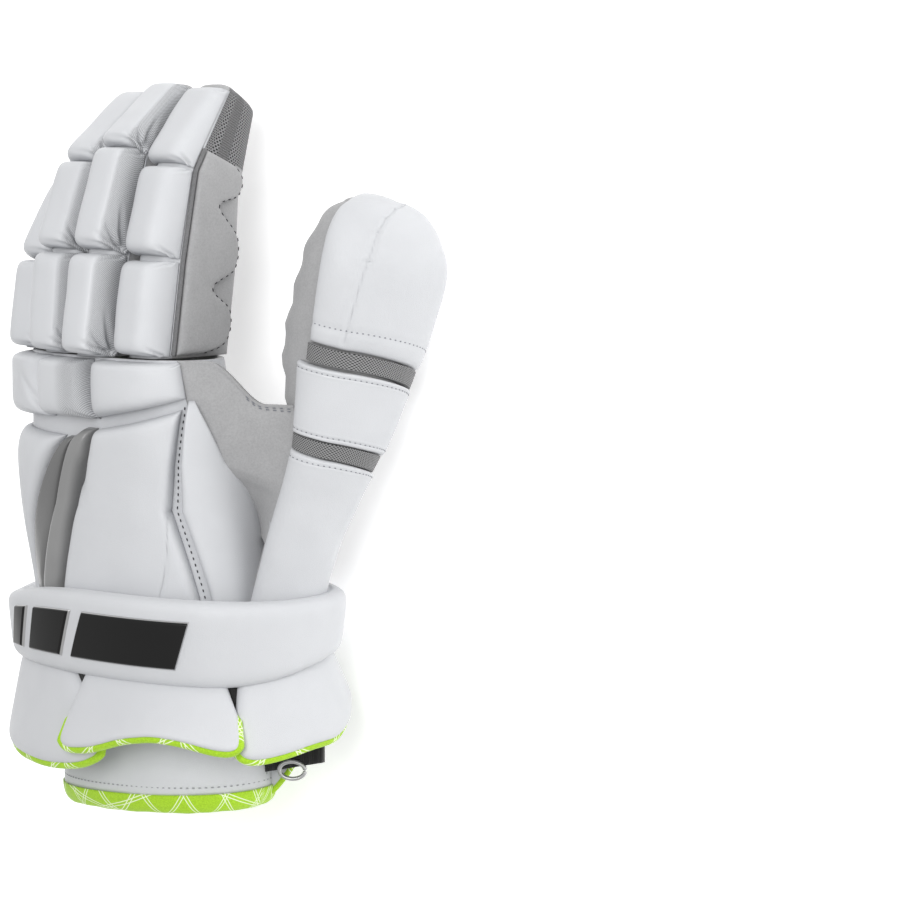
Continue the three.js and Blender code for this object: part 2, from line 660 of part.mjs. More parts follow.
function rollPoint(share, degrees, side) {
  const angle = side ? Math.PI * share : 0;
  const reach = GUARD_THICKNESS / 2 + 1;
  const across = side ? Math.cos(angle) : 1 - 2 * share;
  const p = guardPoint(1, degrees, GUARD_THICKNESS / 2 - reach * across);
  p.y -= GAP + (side ? LINING_ROLL * Math.sin(angle) : 0);
  return p;
}
add("guard_lining", openTube(rollPoint, 4, 24), FINISH.lining);

// The elastic band that ties the guard to the plate at the thumb side: degrees round the guard and round
// the cuff, and its width along the arm as shares of the guard's length.
const ELASTIC = { guard: -8, cuff: -14, from: 0.1, to: [0.68, 0.62], clear: 0.4, seat: 0.4 };
function elasticPoint(down, across, side) {
  const start = guardPoint(mix(ELASTIC.from, ELASTIC.to[0], down), ELASTIC.guard, -ELASTIC.seat);
  const flare = mix(PLATE_FLARE.top, PLATE_FLARE.bottom, 0.74) - PLATE_THICKNESS / 2 - GAP - ELASTIC.clear;
  const end = cuffPoint(ELASTIC.cuff, start.y, flare, 0);
  end.y = guardPoint(mix(ELASTIC.from, ELASTIC.to[1], down), 0, 0).y;
  const p = start.lerp(end, across);
  p.z += side * ELASTIC_THICKNESS;
  return p;
}
add("wrist_elastic", slabFrom(elasticPoint, 2, 4), FINISH.elastic);

// The origin goes under the middle of the glove.
const middle = new THREE.Box3().setFromObject(glove).getCenter(new THREE.Vector3());
glove.position.set(-middle.x, -middle.y, 0);

export default glove;
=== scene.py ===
# %% [markdown]
# # A padded lacrosse glove
# The glove is a suede hand with foam pads sewn over its back, a thick strap round the wrist and a lined
# wrist guard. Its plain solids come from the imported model, already at their real size and place. Each
# soft solid is replaced here by a mesh with the same outline and with the seams, folds, stitches and
# cloth of the real piece. All lengths are in metres.

# %% Load the frame
import math

import bpy
import numpy as np
from mathutils import Matrix, Vector, noise


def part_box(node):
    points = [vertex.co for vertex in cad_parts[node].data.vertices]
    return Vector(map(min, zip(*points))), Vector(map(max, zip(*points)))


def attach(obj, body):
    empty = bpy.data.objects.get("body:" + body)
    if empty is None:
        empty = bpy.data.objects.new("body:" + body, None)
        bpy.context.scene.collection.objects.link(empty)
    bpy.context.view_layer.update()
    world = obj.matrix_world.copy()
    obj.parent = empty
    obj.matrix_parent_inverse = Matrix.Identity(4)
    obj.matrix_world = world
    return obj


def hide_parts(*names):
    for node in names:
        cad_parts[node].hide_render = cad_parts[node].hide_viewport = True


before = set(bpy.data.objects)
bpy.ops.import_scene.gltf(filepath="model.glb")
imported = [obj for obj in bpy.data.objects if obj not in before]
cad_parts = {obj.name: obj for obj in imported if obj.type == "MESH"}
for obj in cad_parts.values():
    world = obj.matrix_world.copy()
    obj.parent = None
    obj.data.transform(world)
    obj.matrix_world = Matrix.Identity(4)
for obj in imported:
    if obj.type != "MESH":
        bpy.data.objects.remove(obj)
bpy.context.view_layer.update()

# %% [markdown]
# ## Sizes
# The pads follow the same tubes as the solids: a hand, four fingers and a thumb, each a row of rounded
# sections. The tables hold shares of the named sizes, so that a pad can be drawn by its place along a
# tube and the angle round it.

# %% Named sizes
GAP = 0.0005
FINGER_PITCH = 0.027
FINGER_DEPTH = 0.050
FINGER_PAD = 0.012
FINGER_LENGTH = 0.124
HAND_LENGTH = 0.160
HAND_WIDTH = 0.108
HAND_DEPTH = 0.062
HAND_PAD = 0.012
KNUCKLE_HEIGHT = 0.074
THUMB_LENGTH = 0.190
THUMB_WIDTH = 0.062
THUMB_HEIGHT = 0.030
THUMB_PAD = 0.005
THUMB_TILT = 40
WALL = 0.0022
PANEL = 0.002
CUFF_WIDTH = 0.176
CUFF_DEPTH = 0.108
STRAP_HEIGHT = 0.040
STRAP_THICKNESS = 0.015
PLATE_LENGTH = 0.030
PLATE_THICKNESS = 0.009
GUARD_LENGTH = 0.038
GUARD_THICKNESS = 0.006
LINING_ROLL = 0.009

# %% Places
KNUCKLE_FROM_WRIST = HAND_LENGTH
THUMB_FROM_WRIST = 0.037
STRAP_FROM_WRIST = 0.055
CUFF_FROM_HAND = 0.015
SIDE_SKIN = 0.0017
guard_low, guard_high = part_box("wrist_guard")
WRIST_Y = guard_high.y + GAP
HAND_X = (guard_low.x + guard_high.x) / 2 - 0.12 * HAND_WIDTH
KNUCKLE_Y = WRIST_Y + KNUCKLE_FROM_WRIST
THUMB_ROOT_Y = WRIST_Y + THUMB_FROM_WRIST
STRAP_TOP = WRIST_Y + STRAP_FROM_WRIST
CUFF_X = HAND_X + CUFF_FROM_HAND
CUFF_Z = CUFF_DEPTH / 2 - 0.002
print("wrist at y", round(WRIST_Y, 4), "hand line at x", round(HAND_X, 4))


# %% [markdown]
# ## Tubes
# A rounded section is a superellipse: a power of 2 gives an ellipse and more makes it boxier. Each
# section has a skin, which is the suede sleeve, and a shell, which is as far out as the pads may reach.
# Working on whole arrays of places at once keeps the meshes fine and the script quick.

# %% Rounded sections and tubes
def signed_power(values, power):
    return np.sign(values) * np.abs(values) ** power


def section_point(degrees, half, above, below, power):
    c, s = np.cos(np.radians(degrees)), np.sin(np.radians(degrees))
    depth = np.where(s > 0, above, below)
    return half * signed_power(c, 2 / power), depth * signed_power(s, 2 / power)


class Tube:
    """A tube through sections, each with a middle, a tilt about Y, a lean about X, a skin and a shell."""

    def __init__(self, sections, power, smooth):
        self.middle = np.array([s["middle"] for s in sections])
        self.turn = {key: np.radians([s[key] for s in sections]) for key in ("tilt", "lean")}
        self.curves = {key: np.array([s[key] for s in sections]) for key in ("skin", "shell")}
        self.power, self.smooth, self.last = power, smooth, len(sections) - 1

    def on_section(self, index, degrees, curve, inset):
        index = np.clip(index, 0, self.last)
        half, above, below = (self.curves[curve][index, i] - inset for i in range(3))
        across, up = section_point(degrees, half, above, below, self.power)
        tilt, lean = self.turn["tilt"][index], self.turn["lean"][index]
        x = across * np.cos(tilt) + up * np.sin(tilt)
        z = up * np.cos(tilt) - across * np.sin(tilt)
        local = np.stack([x, z * np.sin(lean), z * np.cos(lean)], axis=-1)
        return self.middle[index] + local

    def curve(self, t, degrees, curve, inset=0.0):
        t, degrees = np.broadcast_arrays(np.asarray(t, float), np.asarray(degrees, float))
        k = np.clip(np.floor(t).astype(int), 0, self.last - 1)
        s = (t - k)[..., None]
        near = [self.on_section(k + step, degrees, curve, inset) for step in (-1, 0, 1, 2)]
        if not self.smooth:
            return near[1] + (near[2] - near[1]) * s
        weights = [
            ((2 - s) * s - 1) * s * 0.5,
            ((3 * s - 5) * s * s + 2) * 0.5,
            ((4 - 3 * s) * s + 1) * s * 0.5,
            (s - 1) * s * s * 0.5,
        ]
        return sum(weight * point for weight, point in zip(weights, near))

    def skin(self, t, degrees, inset=0.0):
        points = self.curve(t, degrees, "skin", inset)
        points[..., 2] = np.maximum(points[..., 2], inset)
        return points

    def lifted(self, t, degrees, lift, full, least, height):
        """Points over the skin: lift is the air under a pad, full the share of its height that is there."""
        inner = self.curve(t, degrees, "skin")
        ray = self.curve(t, degrees, "shell") - inner
        room = np.maximum(np.linalg.norm(ray, axis=-1, keepdims=True), 1e-6)
        lift, full = np.asarray(lift)[..., None], np.asarray(full)[..., None]
        most = np.maximum(room * height - lift, least)
        points = inner + ray / room * (lift + least + (most - least) * full)
        points[..., 2] = np.maximum(points[..., 2], 0)
        return points


def section(x, y, z, tilt, lean, skin, shell):
    return {"middle": (HAND_X + x, y, z), "tilt": tilt, "lean": lean, "skin": skin, "shell": shell}


# %% The hand
HAND_ROWS = [
    # share of length, x, z, half, above, below, pads, tilt
    (0.00, 0.120, 0.72, 0.50, 0.52, 0.50, 0.6, 4),
    (0.30, 0.060, 0.74, 0.53, 0.52, 0.50, 0.8, 4),
    (0.60, 0.010, 0.81, 0.52, 0.48, 0.50, 1.0, 2),
    (0.85, -0.015, 0.86, 0.52, 0.44, 0.48, 1.1, -5),
    (1.00, -0.035, 0.87, 0.52, 0.42, 0.46, 1.1, -8),
]
SIDE_PADS = 0.45


def hand_section(at, x, z, half, above, below, pads, tilt):
    skin = [half * HAND_WIDTH, above * HAND_DEPTH, below * HAND_DEPTH]
    room = pads * HAND_PAD
    shell = [skin[0] + SIDE_PADS * room, skin[1] + room, skin[2] + PANEL]
    return section(x * HAND_WIDTH, WRIST_Y + at * HAND_LENGTH, z * KNUCKLE_HEIGHT, tilt, 0, skin, shell)


hand = Tube([hand_section(*row) for row in HAND_ROWS], 2.6, True)


def places(rows, shares):
    """Places along a tube from shares of its length."""
    return np.interp(shares, [row[0] for row in rows], np.arange(len(rows)))


# %% The fingers
FINGERS = {
    # slot, drop, lengths of the three bones, and their bends
    "index": (1.08, 0.08, (0.339, 0.32, 0.335), (8, 9, 28.6)),
    "middle": (0.08, 0.0, (0.353, 0.354, 0.325), (8, 12, 40.6)),
    "ring": (-0.92, 0.09, (0.352, 0.295, 0.367), (4, 14, 41.2)),
    "little": (-1.92, 0.27, (0.287, 0.285, 0.308), (7, 26, 43.4)),
}
FINGER_ROWS = [
    # half, above, below, pads
    (1.0, 0.42, 0.60, 1.0), (1.0, 0.40, 0.60, 1.0), (0.97, 0.32, 0.54, 0.8), (0.88, 0.17, 0.36, 0.5),
]


def finger_tube(slot, drop, lengths, bends):
    middle = np.array([slot * FINGER_PITCH, KNUCKLE_Y + GAP, KNUCKLE_HEIGHT * (1 - drop)])
    sections = []
    for i, (wide, above, below, pad) in enumerate(FINGER_ROWS):
        if i:
            reach, bend = lengths[i - 1] * FINGER_LENGTH, math.radians(bends[i - 1])
            middle = middle + [0, reach * math.cos(bend), -reach * math.sin(bend)]
        lean = (bends[max(i - 1, 0)] + bends[min(i, 2)]) / 2 if i else 0
        half = wide * (FINGER_PITCH - GAP) / 2
        skin = [half - SIDE_SKIN, above * FINGER_DEPTH, below * FINGER_DEPTH]
        shell = [half, skin[1] + pad * FINGER_PAD, skin[2] + SIDE_SKIN]
        sections.append(section(*middle, 0, lean, skin, shell))
    return Tube(sections, 3.6, False)


finger_tubes = {name: finger_tube(*row) for name, row in FINGERS.items()}

# %% The thumb
THUMB_ROWS = [
    # share of length, x, z, half, above, below
    (0.0, 0.66, 1.5, 0.24, 0.25, 0.3),
    (0.15, 0.72, 1.42, 0.23, 0.27, 0.33),
    (0.3, 0.8, 1.3, 0.26, 0.3, 0.36),
    (0.45, 0.895, 1.18, 0.32, 0.32, 0.37),
    (0.65, 0.965, 1.06, 0.43, 0.33, 0.38),
    (0.84, 1.03, 1.0, 0.485, 0.34, 0.38),
    (0.93, 1.035, 0.98, 0.43, 0.31, 0.35),
    (0.98, 1.03, 0.97, 0.35, 0.25, 0.29),
    (1.01, 1.02, 0.96, 0.25, 0.18, 0.21),
    (1.025, 1.015, 0.96, 0.15, 0.11, 0.13),
]


def thumb_section(at, x, z, *shares):
    skin = [share * THUMB_WIDTH for share in shares]
    shell = [size + THUMB_PAD + GAP for size in skin]
    y = THUMB_ROOT_Y + at * THUMB_LENGTH
    return section(x * HAND_WIDTH, y, z * THUMB_HEIGHT, THUMB_TILT, 0, skin, shell)


thumb = Tube([thumb_section(*row) for row in THUMB_ROWS], 2.3, True)
print("tubes: hand, thumb and", ", ".join(finger_tubes))


# %% [markdown]
# ## Shader maths
# A shader is a small formula. Wrapping a node's output in a class with Python's operators lets the
# formula be read as one, and every sum or product adds its own Math node.

# %% Sockets with operators
def operator(operation, reflected=False):
    """A method that adds one Math node."""

    def method(self, *others):
        values = (*others, self) if reflected else (self, *others)
        return self.shader.node("ShaderNodeMath", {"operation": operation}, dict(enumerate(values)))

    return method


class Socket:
    """One output of a shader node. Each operator or word below adds its own Math node."""

    def __init__(self, shader, output):
        self.shader, self.output = shader, output

    __add__ = __radd__ = operator("ADD")
    __sub__, __rsub__ = operator("SUBTRACT"), operator("SUBTRACT", reflected=True)
    __mul__ = __rmul__ = operator("MULTIPLY")
    __truediv__, __pow__ = operator("DIVIDE"), operator("POWER")
    sine, size = operator("SINE"), operator("ABSOLUTE")
    most, least = operator("MAXIMUM"), operator("MINIMUM")
    fraction, whole = operator("FRACT"), operator("FLOOR")

    def step(self, low, high):
        """0 below low, 1 above high, and a smooth rise between them."""
        values = {"Value": self, "From Min": low, "From Max": high}
        return self.shader.node("ShaderNodeMapRange", {"interpolation_type": "SMOOTHSTEP"}, values)


class Shader:
    """A material and its node tree."""

    def __init__(self, name, **constants):
        self.material = bpy.data.materials.new(name)
        self.material.use_nodes = True
        self.tree = self.material.node_tree
        self.surface = self.tree.nodes["Principled BSDF"]
        for socket, value in constants.items():
            self.surface.inputs[socket.replace("_", " ")].default_value = value

    def node(self, kind, settings=None, values=None, output=0):
        """Adds a node: its settings first, then the values or links of its sockets."""
        made = self.tree.nodes.new(kind)
        for key, value in (settings or {}).items():
            setattr(made, key, value)
        for key, value in (values or {}).items():
            if isinstance(value, Socket):
                self.tree.links.new(value.output, made.inputs[key])
            else:
                made.inputs[key].default_value = value
        return Socket(self, made.outputs[output])

    def place(self):
        return self.node("ShaderNodeTexCoord", output="Object")

    def cloth(self):
        """Lengths across and along the piece, in metres."""
        uv = self.node("ShaderNodeUVMap", {"uv_map": "cloth"})
        return [self.node("ShaderNodeSeparateXYZ", values={0: uv}, output=i) for i in (0, 1)]

    def mark(self, name):
        return self.node("ShaderNodeAttribute", {"attribute_name": name}, output="Fac")

    def noise(self, size, detail=2.0, rough=0.5):
        """Noise with features of about this size, in metres."""
        values = {"Vector": self.place(), "Scale": 1 / size, "Detail": detail, "Roughness": rough}
        return self.node("ShaderNodeTexNoise", values=values)

    def cells(self, size, feature="F1"):
        values = {"Vector": self.place(), "Scale": 1 / size}
        return self.node("ShaderNodeTexVoronoi", {"feature": feature}, values)

    def blend(self, factor, first, second):
        """A colour between two colours."""
        values = {"Factor": factor, "A": first, "B": second}
        mix = self.tree.nodes.new("ShaderNodeMix")
        mix.data_type = "RGBA"
        for key, value in values.items():
            socket = next(s for s in mix.inputs if s.name == key and s.enabled)
            if isinstance(value, Socket):
                self.tree.links.new(value.output, socket)
            else:
                socket.default_value = value
        return Socket(self, next(s for s in mix.outputs if s.enabled))

    def bump(self, height, distance, strength=1.0, under=None):
        values = {"Height": height, "Distance": distance, "Strength": strength}
        if under is not None:
            values["Normal"] = under
        return self.node("ShaderNodeBump", values=values)

    def finish(self, **sockets):
        for name, value in sockets.items():
            self.tree.links.new(value.output, self.surface.inputs[name.replace("_", " ")])
        return self.material


def gray(level):
    return (level, level, level, 1.0)


# %% [markdown]
# ## White coated leather
# The pads are covered in a smooth coated leather: nearly white, a little cool, with a very fine grain and a
# soft gloss. Painted shade darkens the seams, where each pad turns down into them. Grain comes from small
# cells, and the long, faint unevenness of foam under a thin cover from slow noise.
# Some pads carry a second cloth on the thumb side: a diagonal weave. A mark on the mesh says where it is,
# and it keeps rising towards the thumb side, where the weave's holes are painted darker as painted shade.

# %% White leather and weave
WHITE = (0.615, 0.625, 0.645, 1.0)
WHITE_SHADE = (0.36, 0.37, 0.40, 1.0)
WEAVE_LIGHT = (0.64, 0.65, 0.67, 1.0)
WEAVE_DARK = (0.13, 0.135, 0.145, 1.0)
GRAIN = 0.0005
WEAVE_PITCH = 0.00125


def leather_grain(s):
    """Height of the grain of a coated leather, 0 to 1."""
    pores = s.cells(GRAIN, "DISTANCE_TO_EDGE").step(0.0, 0.25)
    return pores * 0.7 + s.noise(0.00025, 2) * 0.3


def white_leather(name, weave=False):
    s = Shader(name, Coat_Roughness=0.35, Sheen_Weight=0.05)
    worn = s.noise(0.018, 3).step(0.35, 0.7)
    rim = s.mark("rim")
    seam = (rim ** 3.0).least(1.0)
    # painted shade: the rim mark darkens the colour towards WHITE_SHADE at seams and pad edges
    color = s.blend(seam * 0.4 + worn * 0.05, WHITE, WHITE_SHADE)
    grain = leather_grain(s)
    puckers = s.noise(0.004, 3, 0.6) * seam
    rough = grain * -0.06 + worn * 0.08 + 0.46
    under = s.bump(puckers, 0.0015, 0.6)
    fine = grain
    if weave:
        across, along = s.cloth()
        first = ((across + along) * (math.pi / WEAVE_PITCH)).sine().size()
        second = ((across - along * 1.25) * (math.pi / WEAVE_PITCH)).sine().size()
        depth = s.mark("weave")
        thread = (first * second).step(0.03, 0.45)
        mask = depth.step(0.30, 0.55)
        # painted shade: the weave mark darkens the holes more towards the thumb side, where the fingers meet
        cloth = s.blend((1 - thread) * (0.35 + depth * 0.5), WEAVE_LIGHT, WEAVE_DARK)
        color = s.blend(mask, color, cloth)
        fine = grain * (1 - mask) * 0.35 + thread * mask * 2.6
        rough = rough * (1 - mask) + mask * 0.8
    normal = s.bump(fine, 0.00006, 0.9, under)
    return s.finish(Base_Color=color, Roughness=rough, Normal=normal)


pad_leather = white_leather("white coated leather")
pad_weave = white_leather("white leather with diagonal weave", weave=True)
print("leather grain", GRAIN * 1000, "mm, weave pitch", WEAVE_PITCH * 1000, "mm")

# %% [markdown]
# ## Suede and knitted mesh
# Suede is matt and fuzzy: a fine mottle in colour, no gloss, a little sheen at the edges and a soft bump.
# Painted shade darkens it towards the rim of each piece.
# The knitted mesh is a gray knit with rows of small dark holes, every second row shifted by half.

# %% Suede and mesh
SUEDE = (0.41, 0.41, 0.415, 1.0)
SUEDE_DARK = (0.28, 0.28, 0.285, 1.0)
KNIT = (0.26, 0.26, 0.265, 1.0)
KNIT_HOLE = (0.006, 0.006, 0.007, 1.0)
KNIT_PITCH = 0.0014


def knit_holes(s):
    """1 in the holes of the knitted mesh and 0 on its yarn."""
    across, along = s.cloth()
    u, v = across / KNIT_PITCH, along / (KNIT_PITCH * 0.8)
    shift = (v.whole() * 0.5).fraction()
    du, dv = (u + shift).fraction() - 0.5, v.fraction() - 0.5
    return 1 - ((du * du) * 1.7 + (dv * dv) * 1.1).step(0.13, 0.20)


def suede(name, mesh_tip=False, tone=SUEDE, dark=SUEDE_DARK):
    s = Shader(name, Sheen_Weight=0.25, Sheen_Roughness=0.5, Specular_IOR_Level=0.2)
    nap = s.noise(0.0009, 4, 0.75)
    patches = s.noise(0.012, 3, 0.6).step(0.3, 0.75)
    rim = s.mark("rim")
    color = s.blend(nap.step(0.35, 0.7) * 0.45 + patches * 0.2, tone, dark)
    # painted shade: darker where the rim mark is high, at the piece's edges and hem
    color = s.blend((rim ** 2.0) * 0.5, color, dark)
    height, rough = nap, nap * 0.1 + 0.85
    if mesh_tip:
        mask = s.mark("knit").step(0.4, 0.6)
        holes = knit_holes(s)
        color = s.blend(mask, color, s.blend(holes, KNIT, KNIT_HOLE))
        height = nap * (1 - mask) - holes * mask * 2.5
    normal = s.bump(height, 0.00022, 0.8)
    return s.finish(Base_Color=color, Roughness=rough, Normal=normal)


def knitted_mesh(name):
    s = Shader(name, Sheen_Weight=0.1)
    holes = knit_holes(s)
    fleck = s.noise(0.0006, 2)
    color = s.blend(holes, s.blend(fleck, KNIT, gray(0.32)), KNIT_HOLE)
    normal = s.bump(1 - holes, 0.0003, 0.9)
    return s.finish(Base_Color=color, Roughness=fleck * 0.2 + 0.65, Normal=normal)


gray_suede = suede("gray suede")
tip_suede = suede("gray suede with mesh tip", mesh_tip=True)
edge_suede = suede("raw suede edge", tone=(0.20, 0.20, 0.205, 1.0), dark=(0.10, 0.10, 0.105, 1.0))
band_mesh = knitted_mesh("knitted mesh")

# %% [markdown]
# ## Trim
# The rest are small pieces: glossy gray inlays, black raised bars with a bright edge, lime lining with
# thin pale lines, ribbed black elastic, thread and a metal loop.

# %% Inlay, bars, elastic, thread and loop
def inlay(name, level):
    s = Shader(name, Coat_Weight=0.35, Coat_Roughness=0.2)
    cloud = s.noise(0.03, 2)
    rim = s.mark("rim")
    # painted shade: the inlay darkens towards its rim; the slow cloud is its own uneven tone
    color = s.blend(cloud.step(0.3, 0.7) * 0.25 + (rim ** 2.0) * 0.3, gray(level), gray(level * 0.6))
    normal = s.bump(s.noise(0.0003, 2), 0.00002, 0.6)
    return s.finish(Base_Color=color, Roughness=cloud * 0.1 + 0.3, Normal=normal)


def bar_gloss(name):
    s = Shader(name, Coat_Weight=0.15, Coat_Roughness=0.2, Specular_IOR_Level=0.25)
    edge = s.mark("rim").step(0.45, 0.6)
    smudge = s.noise(0.006, 3)
    color = s.blend(edge, gray(0.006), gray(0.55))
    rough = smudge * 0.08 + 0.28
    normal = s.bump(s.noise(0.0004, 2), 0.00002, 0.5)
    return s.finish(Base_Color=color, Metallic=edge * 0.9, Roughness=rough, Normal=normal)


def elastic(name):
    s = Shader(name, Sheen_Weight=0.2)
    across, along = s.cloth()
    rib = (across * (2 * math.pi / 0.0011)).sine() * 0.5 + 0.5
    weft = (along * (2 * math.pi / 0.0006)).sine() * 0.5 + 0.5
    yarn = rib * 0.7 + weft * 0.3
    color = s.blend(yarn, gray(0.004), gray(0.022))
    normal = s.bump(yarn, 0.0003, 0.9)
    return s.finish(Base_Color=color, Roughness=yarn * 0.1 + 0.8, Normal=normal)


def thread(name, color):
    s = Shader(name, Sheen_Weight=0.1)
    twist = s.noise(0.0003, 2).step(0.3, 0.7)
    shade = tuple(0.7 * c for c in color[:3]) + (1.0,)
    tint = s.blend(twist, color, shade)
    return s.finish(Base_Color=tint, Roughness=twist * 0.1 + 0.7, Normal=s.bump(twist, 0.0001, 0.6))


def brushed_loop(name):
    s = Shader(name)
    wear = s.noise(0.002, 3)
    color = s.blend(wear, gray(0.42), gray(0.58))
    return s.finish(Base_Color=color, Roughness=wear * 0.2 + 0.25, Metallic=wear * 0.1 + 0.8)


ridge_gloss = inlay("light gray inlay", 0.27)
blade_gloss = inlay("dark gray inlay", 0.17)
bar_black = bar_gloss("raised black gloss")
black_elastic = elastic("ribbed elastic")
black_thread = thread("dark thread", (0.03, 0.03, 0.035, 1.0))
gray_thread = thread("gray thread", (0.22, 0.23, 0.26, 1.0))
pale_thread = thread("pale thread", (0.36, 0.37, 0.39, 1.0))
loop_metal = brushed_loop("loop metal")

# %% [markdown]
# ### Lime lining
# The lining is a brushed lime knit with thin pale double lines that cross at odd angles. An image could
# show them, but four families of lines, each with its own angle and spacing, stay sharp at any size and
# give crossings that don't repeat.

# %% Lime lining
LIME = (0.42, 0.70, 0.02, 1.0)
LIME_DEEP = (0.32, 0.56, 0.012, 1.0)
LINE_PALE = (0.82, 0.92, 0.62, 1.0)
LINE_FAMILIES = [
    # angle in degrees, spacing, offset
    (34, 0.019, 0.004),
    (148, 0.023, 0.011),
    (71, 0.031, 0.006),
    (112, 0.037, 0.009),
]
LINE_WIDTH = 0.00026
LINE_SPREAD = 0.00085


def lime_lining(name):
    s = Shader(name, Sheen_Weight=0.2)
    across, along = s.cloth()
    lines = None
    for angle, spacing, offset in LINE_FAMILIES:
        c, k = math.cos(math.radians(angle)), math.sin(math.radians(angle))
        walk = ((across * c + along * k + offset) / spacing).fraction() - 0.5
        away = ((walk * spacing).size() - LINE_SPREAD).size()
        line = 1 - away.step(LINE_WIDTH * 0.6, LINE_WIDTH * 1.3)
        lines = line if lines is None else lines.most(line)
    fuzz = s.noise(0.0007, 3)
    base = s.blend(fuzz.step(0.3, 0.7), LIME, LIME_DEEP)
    color = s.blend(lines, base, LINE_PALE)
    return s.finish(Base_Color=color, Roughness=fuzz * 0.1 + 0.8, Normal=s.bump(fuzz, 0.0002, 0.7))


lime = lime_lining("lime lining")
print("materials:", len(bpy.data.materials))


# %% [markdown]
# ## Meshes
# A slab between two grids of points is the base of nearly every piece. Its points crowd towards the edges,
# where a pad turns down to its seam. Each mesh carries real lengths as its UV map, for the weaves, and a
# mark called rim that is 1 at the seam and 0 in the middle.

# %% Slabs
def shares(count, ease=0.75):
    """Shares from 0 to 1 that crowd towards both ends."""
    even = np.linspace(0, 1, count)
    return (1 - ease) * even + ease * (0.5 - 0.5 * np.cos(np.pi * even))


def grid_faces(rows, columns, first, flip):
    a = first + np.arange(rows - 1)[:, None] * columns + np.arange(columns - 1)[None, :]
    quads = np.stack([a, a + 1, a + columns + 1, a + columns], axis=-1).reshape(-1, 4)
    return quads[:, ::-1] if flip else quads


def rim_loop(rows, columns):
    top = list(range(columns))
    right = [r * columns + columns - 1 for r in range(1, rows)]
    bottom = [(rows - 1) * columns + c for c in range(columns - 2, -1, -1)]
    left = [r * columns for r in range(rows - 2, 0, -1)]
    return np.array(top + right + bottom + left)


def ring_faces(rings, sides, first=0, flip=False):
    """Faces between rings of points, each ring closed on itself."""
    r, k = np.meshgrid(np.arange(rings - 1), np.arange(sides), indexing="ij")
    a, b = (first + r * sides + k).ravel(), (first + r * sides + (k + 1) % sides).ravel()
    quads = np.stack([a, b, b + sides, a + sides], axis=-1)
    return quads[:, ::-1] if flip else quads


def unit(vectors):
    return vectors / np.maximum(np.linalg.norm(vectors, axis=-1, keepdims=True), 1e-12)


def table_at(rows, share):
    """Each column of a table, read at shares of the way down it."""
    rows = np.asarray(rows, float)
    return [np.interp(share * (len(rows) - 1), np.arange(len(rows)), column) for column in rows.T]


def make_object(name, points, faces, material, uv=None, marks=None):
    mesh = bpy.data.meshes.new(name)
    mesh.from_pydata(points.tolist(), [], [list(map(int, face)) for face in faces])
    mesh.update()
    if uv is not None:
        layer = mesh.uv_layers.new(name="cloth")
        corners = np.zeros(len(mesh.loops), dtype=np.int32)
        mesh.loops.foreach_get("vertex_index", corners)
        layer.data.foreach_set("uv", uv[corners].astype(np.float32).ravel())
    for mark, values in (marks or {}).items():
        mesh.attributes.new(mark, "FLOAT", "POINT").data.foreach_set("value", values.astype(np.float32))
    mesh.polygons.foreach_set("use_smooth", [True] * len(mesh.polygons))
    mesh.materials.append(material)
    piece = bpy.data.objects.new(name, mesh)
    bpy.context.scene.collection.objects.link(piece)
    return piece


def outward(points, faces):
    """The faces, turned so that the solid's volume is positive."""
    a, b, c = points[faces[:, 0]], points[faces[:, 1]], points[faces[:, 2]]
    middle = points.mean(axis=0)
    volume = np.einsum("ij,ij->i", a - middle, np.cross(b - middle, c - middle)).sum()
    return faces if volume > 0 else faces[:, ::-1]


def slab(name, outer, inner, material, uv, marks):
    rows, columns = outer.shape[:2]
    points = np.concatenate([outer.reshape(-1, 3), inner.reshape(-1, 3)])
    half = rows * columns
    loop = rim_loop(rows, columns)
    after = np.roll(loop, -1)
    rim = np.stack([loop, loop + half, after + half, after], axis=-1)
    faces = np.concatenate([grid_faces(rows, columns, 0, False), grid_faces(rows, columns, half, True), rim])
    twice = {key: np.concatenate([value.ravel(), value.ravel()]) for key, value in marks.items()}
    cloth = np.concatenate([uv.reshape(-1, 2)] * 2)
    return make_object(name, points, outward(points, faces), material, cloth, twice)


# %% [markdown]
# ## Pads
# A pad is a pillow: full in the middle and pulled down to its seam all round. Its height across and
# along is one minus a high power, which is flat on top and turns down steeply at the edges. Creases are
# grooves with a soft swelling beside them, because pinched cloth has to go somewhere. A cloth simulation
# could fill the pads too, but the remesh that it needs would take the crisp seams and fine folds away.

# %% Pads
SWELL, SWELL_AT = 0.35, 2.2
SEAM_WIDTH, SEAM_SHADE = 0.7, 0.85
LUMP_SCALE = 55


def pillow(share, power):
    return np.sqrt(np.maximum(1 - np.abs(2 * share - 1) ** power, 0))


def crease_depth(u, v, size, creases):
    """Depth of creases at places (u, v). Each runs from one place to another with a depth and a width."""
    depth = np.zeros_like(u)
    for (u0, v0), (u1, v1), deep, wide in creases:
        start, end = np.array([u0 * size[0], v0 * size[1]]), np.array([u1 * size[0], v1 * size[1]])
        run = end - start
        length = max(np.linalg.norm(run), 1e-6)
        away = np.stack([u * size[0], v * size[1]], axis=-1) - start
        along = np.clip(away @ run / length**2, 0, 1)
        side = np.linalg.norm(away - along[..., None] * run, axis=-1)
        fade = 1 - along**2 if deep > 0 else 1.0
        groove = np.exp(-((side / wide) ** 2)) - SWELL * np.exp(-(((side - SWELL_AT * wide) / wide) ** 2))
        depth += abs(deep) * groove * fade
    return depth


def blended(lines, u, v):
    """Places along and round a tube for shares u along and v across a pad's lines."""
    at, end, first, last = table_at(lines, u)
    return at + (end - at) * v, first + (last - first) * v


